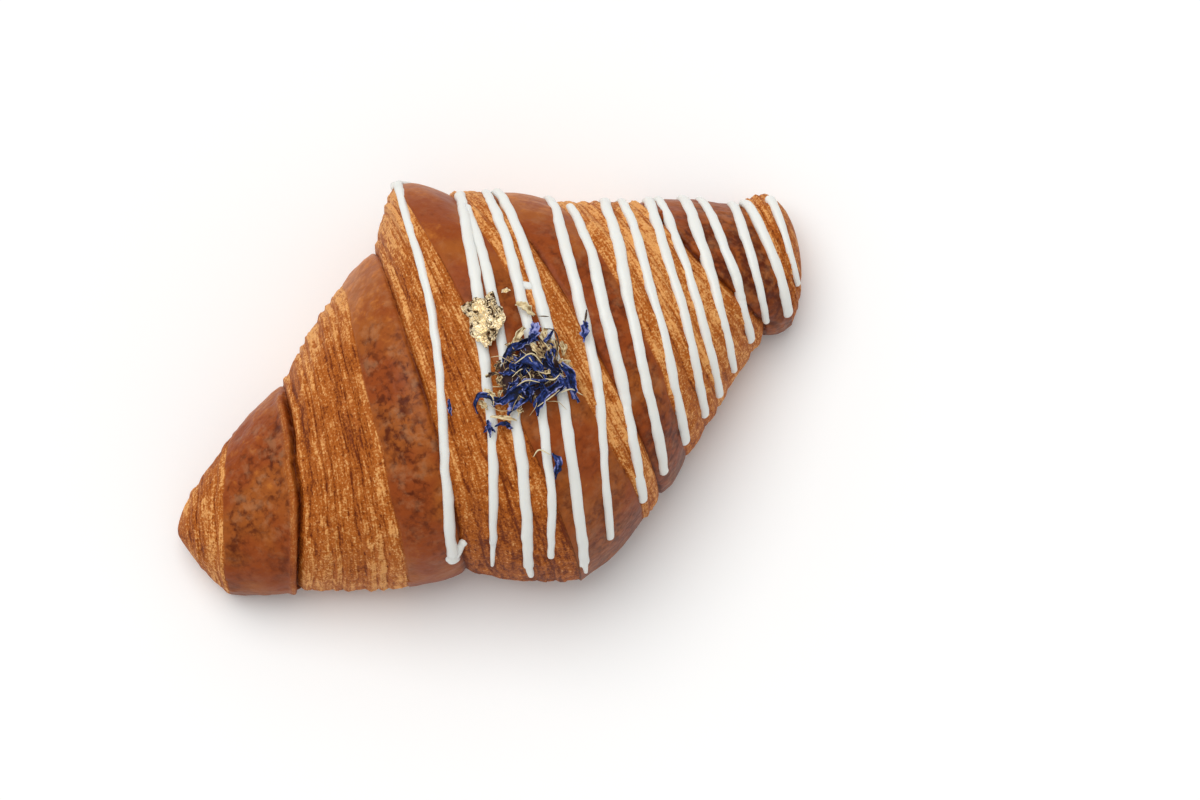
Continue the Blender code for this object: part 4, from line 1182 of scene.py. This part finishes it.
def gather(parts):
    """Joins (points, faces, shade) parts into one list of points, one of quads or triangles, and shades."""
    points, blocks, shades, first = [], {}, [], 0
    for part, faces, shade in parts:
        points.append(part)
        for block in faces:
            blocks.setdefault(np.shape(block)[1], []).append(np.asarray(block) + first)
        shades.append(np.broadcast_to(shade, len(part)))
        first += len(part)
    blocks = [np.concatenate(block) for block in blocks.values()]
    return np.concatenate(points), blocks, np.concatenate(shades)


def heap_place(angle, share):
    """A place on the plan at this share of the way from the heap's middle to its uneven outline."""
    waves = sum(height * np.sin(count * angle + phase) for height, count, phase in HEAP_WAVES)
    reach = share * HEAP_RADIUS * (1 + waves)
    return HEAP_CENTRE[0] + reach * np.cos(angle), HEAP_CENTRE[1] + reach * np.sin(angle)


def scraps(random, number, reach, lengths, heights):
    """Middle lines of small bits strewn over the heap: each a bent line of three places, and its heights,
    higher towards the heap's middle."""
    for _ in range(number):
        share = reach * np.sqrt(random.uniform(0, 1))
        x, y = heap_place(random.uniform(0, 2 * pi), share)
        heading, bend = random.uniform(0, 2 * pi), random.uniform(-1.3, 1.3)
        step = random.uniform(*lengths) / 2
        places = [(x, y)]
        for turn in (heading, heading + bend):
            x, y = x + step * np.cos(turn), y + step * np.sin(turn)
            places.append((x, y))
        over = random.uniform(*heights) * (1 - 0.7 * share)
        yield places, (over, over + random.uniform(0.0, 0.9), 0.6 * over)


def heap_florets(random, settings, cloud):
    """The blue florets: those in known places, and small torn ones strewn between them."""
    florets = [ribbon(number, *row, cloud) for number, row in enumerate(BLUE_RIBBONS)]
    for number, (places, heights) in enumerate(scraps(random, settings.florets, *FLORET_BITS), FIRST_FLORET):
        width, twist, shade = random.uniform(0.7, 1.5), random.uniform(-1.4, 1.4), random.uniform(0.05, 0.4)
        florets.append(ribbon(number, places, heights, width, twist, shade, cloud))
    return florets


def heap_scales(random, settings, cloud):
    """The dark mound of painted shade under the heap, and dry scales and threads in known places and strewn
    between them.
    """
    scales = [shade_mound(cloud)]
    scales += [ribbon(number, *row, cloud) for number, row in enumerate(STRAW_RIBBONS, FIRST_STRAW)]
    for number, (places, heights) in enumerate(scraps(random, settings.scales, *SCALE_BITS), FIRST_SCALE):
        width, twist = random.uniform(0.5, 1.3), random.uniform(-0.9, 0.9)
        shade = 0.85 * random.uniform(0, 1) ** 3
        scales.append(ribbon(number, places, heights, width, twist, shade, cloud))
    scales += [thread(*row, cloud) for row in THREADS]
    for places, heights in scraps(random, settings.threads, *THREAD_BITS):
        scales.append(thread(places, heights, random.uniform(0.16, 0.26), random.uniform(0.3, 1.0), cloud))
    return scales


def crests(x, y, size, stretch, seed):
    """Sharp crests of noise, 1 on top, of this size in millimetres and drawn out along Y."""
    return 1 - 2 * np.abs(smooth_noise(x / size + 30, y / (stretch * size) + 30, seed) - 0.5)


def leaf_grid(shape):
    """Places over a sheet from -1 to 1, across and along."""
    return np.meshgrid(*(np.linspace(-1, 1, number) for number in shape), indexing="ij")


def gold_flake(cloud):
    """The flake of leaf over dough and icing: a ragged sheet that narrows to the front, with sharp folds,
    and with creases where a slow noise lets them be."""
    u, v = leaf_grid(GOLD_GRID)
    ragged = 1 + sum(height * np.sin(a * u + b * v + phase) for height, a, b, phase in GOLD_RAGGED)
    ragged = ragged + 0.16 * (smooth_noise(4 * u + 9, 4 * v + 9, 31) - 0.5)
    taper = np.sqrt(1 - GOLD_TAPER * ((v - GOLD_WIDEST) / (1 + GOLD_WIDEST)) ** 2)
    x = GOLD_CENTRE[0] + GOLD_SIZE[0] / 2 * u * ragged * taper - GOLD_LEAN * ((1 - v) / 2) ** 3
    y = GOLD_CENTRE[1] + GOLD_SIZE[1] / 2 * v * ragged * np.sqrt(1 - GOLD_BOW * u**2)
    folds = sum(height * crests(x, y, size, 1.5, seed) ** 3 for size, height, seed in GOLD_FOLDS)
    crease = np.max([crests(x, y, size, 1.6, seed) ** 7 for size, seed in GOLD_CREASES], axis=0)
    crease = crease * ease(smooth_noise(x / 2.4 + 5, y / 2.4 + 5, 38), 0.05, 0.55)
    z = clear_level(x, y, cloud) + 0.1 + 0.75 * folds - 0.3 * crease
    # Painted light and shade: paler on the crests of the folds and dark in the creases.
    shade = np.clip(0.86 + 0.35 * (folds - 0.6) - 0.9 * crease, 0, 1).ravel()
    points, faces = thin_sheet(np.stack([x, y, z], axis=-1), GOLD_THICKNESS)
    return points, [faces], np.tile(shade, 2)


def gold_fleck(cloud):
    """The small fleck of leaf that lies apart on the dough."""
    u, v = leaf_grid(FLECK_GRID)
    x = FLECK[0] + FLECK_HALF[0] * u * (1 - 0.3 * v)
    y = FLECK[1] + FLECK_HALF[1] * v * (1 + 0.3 * u)
    z = clear_level(x, y, cloud) - NODE_GAP + 0.3 + 0.3 * smooth_noise(2 * x + 30, 2 * y + 30, 35)
    points, faces = thin_sheet(np.stack([x, y, z], axis=-1), GOLD_THICKNESS)
    return points, [faces], FLECK_SHADE


def towards_matrix(back):
    """A turn whose third axis points along the given direction. A light turned so shines the other way."""
    back = unit(back)
    right = unit(np.cross((0, 1, 0), back))
    return Matrix(np.column_stack([right, np.cross(back, right), back]).tolist()).to_4x4()


class CROISSANT_OT_crust(bpy.types.Operator):
    """Bakes the crust: two closed shells of laminated dough in place of the solid roll"""

    bl_idname = "croissant.crust"
    bl_label = "Bake the crust"

    def execute(self, context):
        settings = context.scene.croissant_crust
        material = baked_dough(settings)
        for name, first, last in (("crust_left", 0, SPLIT_LINE), ("crust_right", SPLIT_LINE, len(ZONES))):
            piece = crust_piece(name, first, last, material, settings)
            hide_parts("croissant")
        return {"FINISHED"}


class CROISSANT_OT_icing(bpy.types.Operator):
    """Pipes the lines of white icing across the roll"""

    bl_idname = "croissant.icing"
    bl_label = "Pipe the icing"

    def execute(self, context):
        settings = context.scene.croissant_icing
        points, blocks, _shades = gather(icing_strands(settings))
        piece = put_piece("icing_lines", points, blocks, sugar_icing(settings), "icing")
        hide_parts("croissant")
        return {"FINISHED"}


class CROISSANT_OT_petals(bpy.types.Operator):
    """Heaps dried cornflower florets, scales and threads on the icing, with three single petals beside them"""

    bl_idname = "croissant.petals"
    bl_label = "Strew the petals"

    def execute(self, context):
        settings = context.scene.croissant_toppings
        random = np.random.default_rng(HEAP_SEED)
        cloud = icing_plan()
        petal_tones = [tuple(tint) for tint in (settings.blue_dark, settings.blue, settings.violet)]
        scale_tones = [tuple(tint) for tint in (settings.brown, settings.straw, settings.cream)]
        blue = dried_flower("dried_cornflower", petal_tones, 1.3)
        straw = dried_flower("dried_calyx", scale_tones, 0.8)
        for name, build, material, slot in (
            ("cornflower_florets", heap_florets, blue, "dried_petals"),
            ("calyx_scales", heap_scales, straw, "dried_calyx"),
        ):
            points, blocks, shades = gather(build(random, settings, cloud))
            piece = put_piece(name, points, blocks, material, slot, {"shade": shades})
            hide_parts("cornflower_petals")
        return {"FINISHED"}


class CROISSANT_OT_gold(bpy.types.Operator):
    """Lays a crumpled flake of gold leaf over dough and icing"""

    bl_idname = "croissant.gold"
    bl_label = "Lay the gold leaf"

    def execute(self, context):
        settings = context.scene.croissant_toppings
        cloud = icing_plan()
        points, blocks, shades = gather([gold_flake(cloud), gold_fleck(cloud)])
        piece = put_piece("gold_flake", points, blocks, gold_leaf_finish(settings), "gold", {"shade": shades})
        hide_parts("gold_leaf")
        return {"FINISHED"}


class CROISSANT_OT_stage(bpy.types.Operator):
    """Sets the pale floor, the soft lights and the camera at the photograph's angle"""

    bl_idname = "croissant.stage"
    bl_label = "Set the stage"

    def execute(self, context):
        settings = context.scene.croissant_stage
        mesh = bpy.data.meshes.new("floor")
        corners = ((-1, -1), (1, -1), (1, 1), (-1, 1))
        corners = [(x * FLOOR_REACH, y * FLOOR_REACH, FLOOR_LEVEL) for x, y in corners]
        mesh.from_pydata(corners, [], [(0, 1, 2, 3)])
        material, _tree, shader = new_material("matt_paper")
        set_values(shader, {"Base Color": tuple(settings.floor), "Roughness": 0.9})
        mesh.materials.append(material)
        floor = bpy.data.objects.new("floor", mesh)
        context.scene.collection.objects.link(floor)
        elevation = radians(ELEVATION)
        heading = unit(np.array([*HEADING, 0.0]))
        right = np.array([heading[1], -heading[0], 0.0])
        up = heading * np.sin(elevation) + np.array([0, 0, np.cos(elevation)])
        back = np.cross(right, up)
        aim = (np.array(AIM) + ORIGIN_SHIFT + AIM_RIGHT * right + AIM_UP * up) * MM
        data = bpy.data.lights.new("key_light", "SUN")
        data.energy = settings.key_strength
        data.angle = radians(KEY_SPREAD)
        lamp = bpy.data.objects.new("key_light", data)
        turned = towards_matrix(KEY_UP * up + KEY_RIGHT * right + back)
        lamp.matrix_world = Matrix.Translation(aim + back) @ turned
        context.scene.collection.objects.link(lamp)
        world = bpy.data.worlds.new("studio")
        world.use_nodes = True
        sky = world.node_tree.nodes["Background"]
        set_values(sky, {"Color": srgb("#ffffff"), "Strength": settings.sky_strength})
        context.scene.world = world
        context.scene.view_settings.view_transform = "Standard"
        data = bpy.data.cameras.new("camera")
        data.sensor_width = SENSOR
        data.lens = SENSOR * CAMERA_DISTANCE / VIEW_WIDTH
        data.clip_end = 20
        camera = bpy.data.objects.new("camera", data)
        turned = Matrix(np.column_stack([right, up, back]).tolist()).to_4x4()
        camera.matrix_world = Matrix.Translation(aim + CAMERA_DISTANCE * MM * back) @ turned
        context.scene.collection.objects.link(camera)
        context.scene.camera = camera
        return {"FINISHED"}


class CROISSANT_PT_panel(bpy.types.Panel):
    """Lists the steps and the sizes and colours of the croissant"""

    bl_idname = "CROISSANT_PT_panel"
    bl_label = "Croissant"
    bl_space_type = "VIEW_3D"
    bl_region_type = "UI"
    bl_category = "Croissant"

    def draw(self, context):
        for group in GROUPS:
            settings = getattr(context.scene, group)
            box = self.layout.box()
            for name in settings.bl_rna.properties.keys():
                if name not in {"rna_type", "name"}:
                    box.prop(settings, name)
        for step in STEPS:
            self.layout.operator(step.bl_idname)


GROUPS = {
    "croissant_crust": CrustSettings,
    "croissant_icing": IcingSettings,
    "croissant_toppings": ToppingSettings,
    "croissant_stage": StageSettings,
}
STEPS = (CROISSANT_OT_crust, CROISSANT_OT_icing, CROISSANT_OT_petals, CROISSANT_OT_gold, CROISSANT_OT_stage)


def register():
    for cls in (*GROUPS.values(), *STEPS, CROISSANT_PT_panel):
        bpy.utils.register_class(cls)
    for name, cls in GROUPS.items():
        setattr(bpy.types.Scene, name, bpy.props.PointerProperty(type=cls))


def unregister():
    for name in GROUPS:
        delattr(bpy.types.Scene, name)
    for cls in reversed((*GROUPS.values(), *STEPS, CROISSANT_PT_panel)):
        bpy.utils.unregister_class(cls)


def main():
    register()
    for step in STEPS:
        family, name = step.bl_idname.split(".")
        getattr(getattr(bpy.ops, family), name)()


if __name__ == "__main__":
    main()
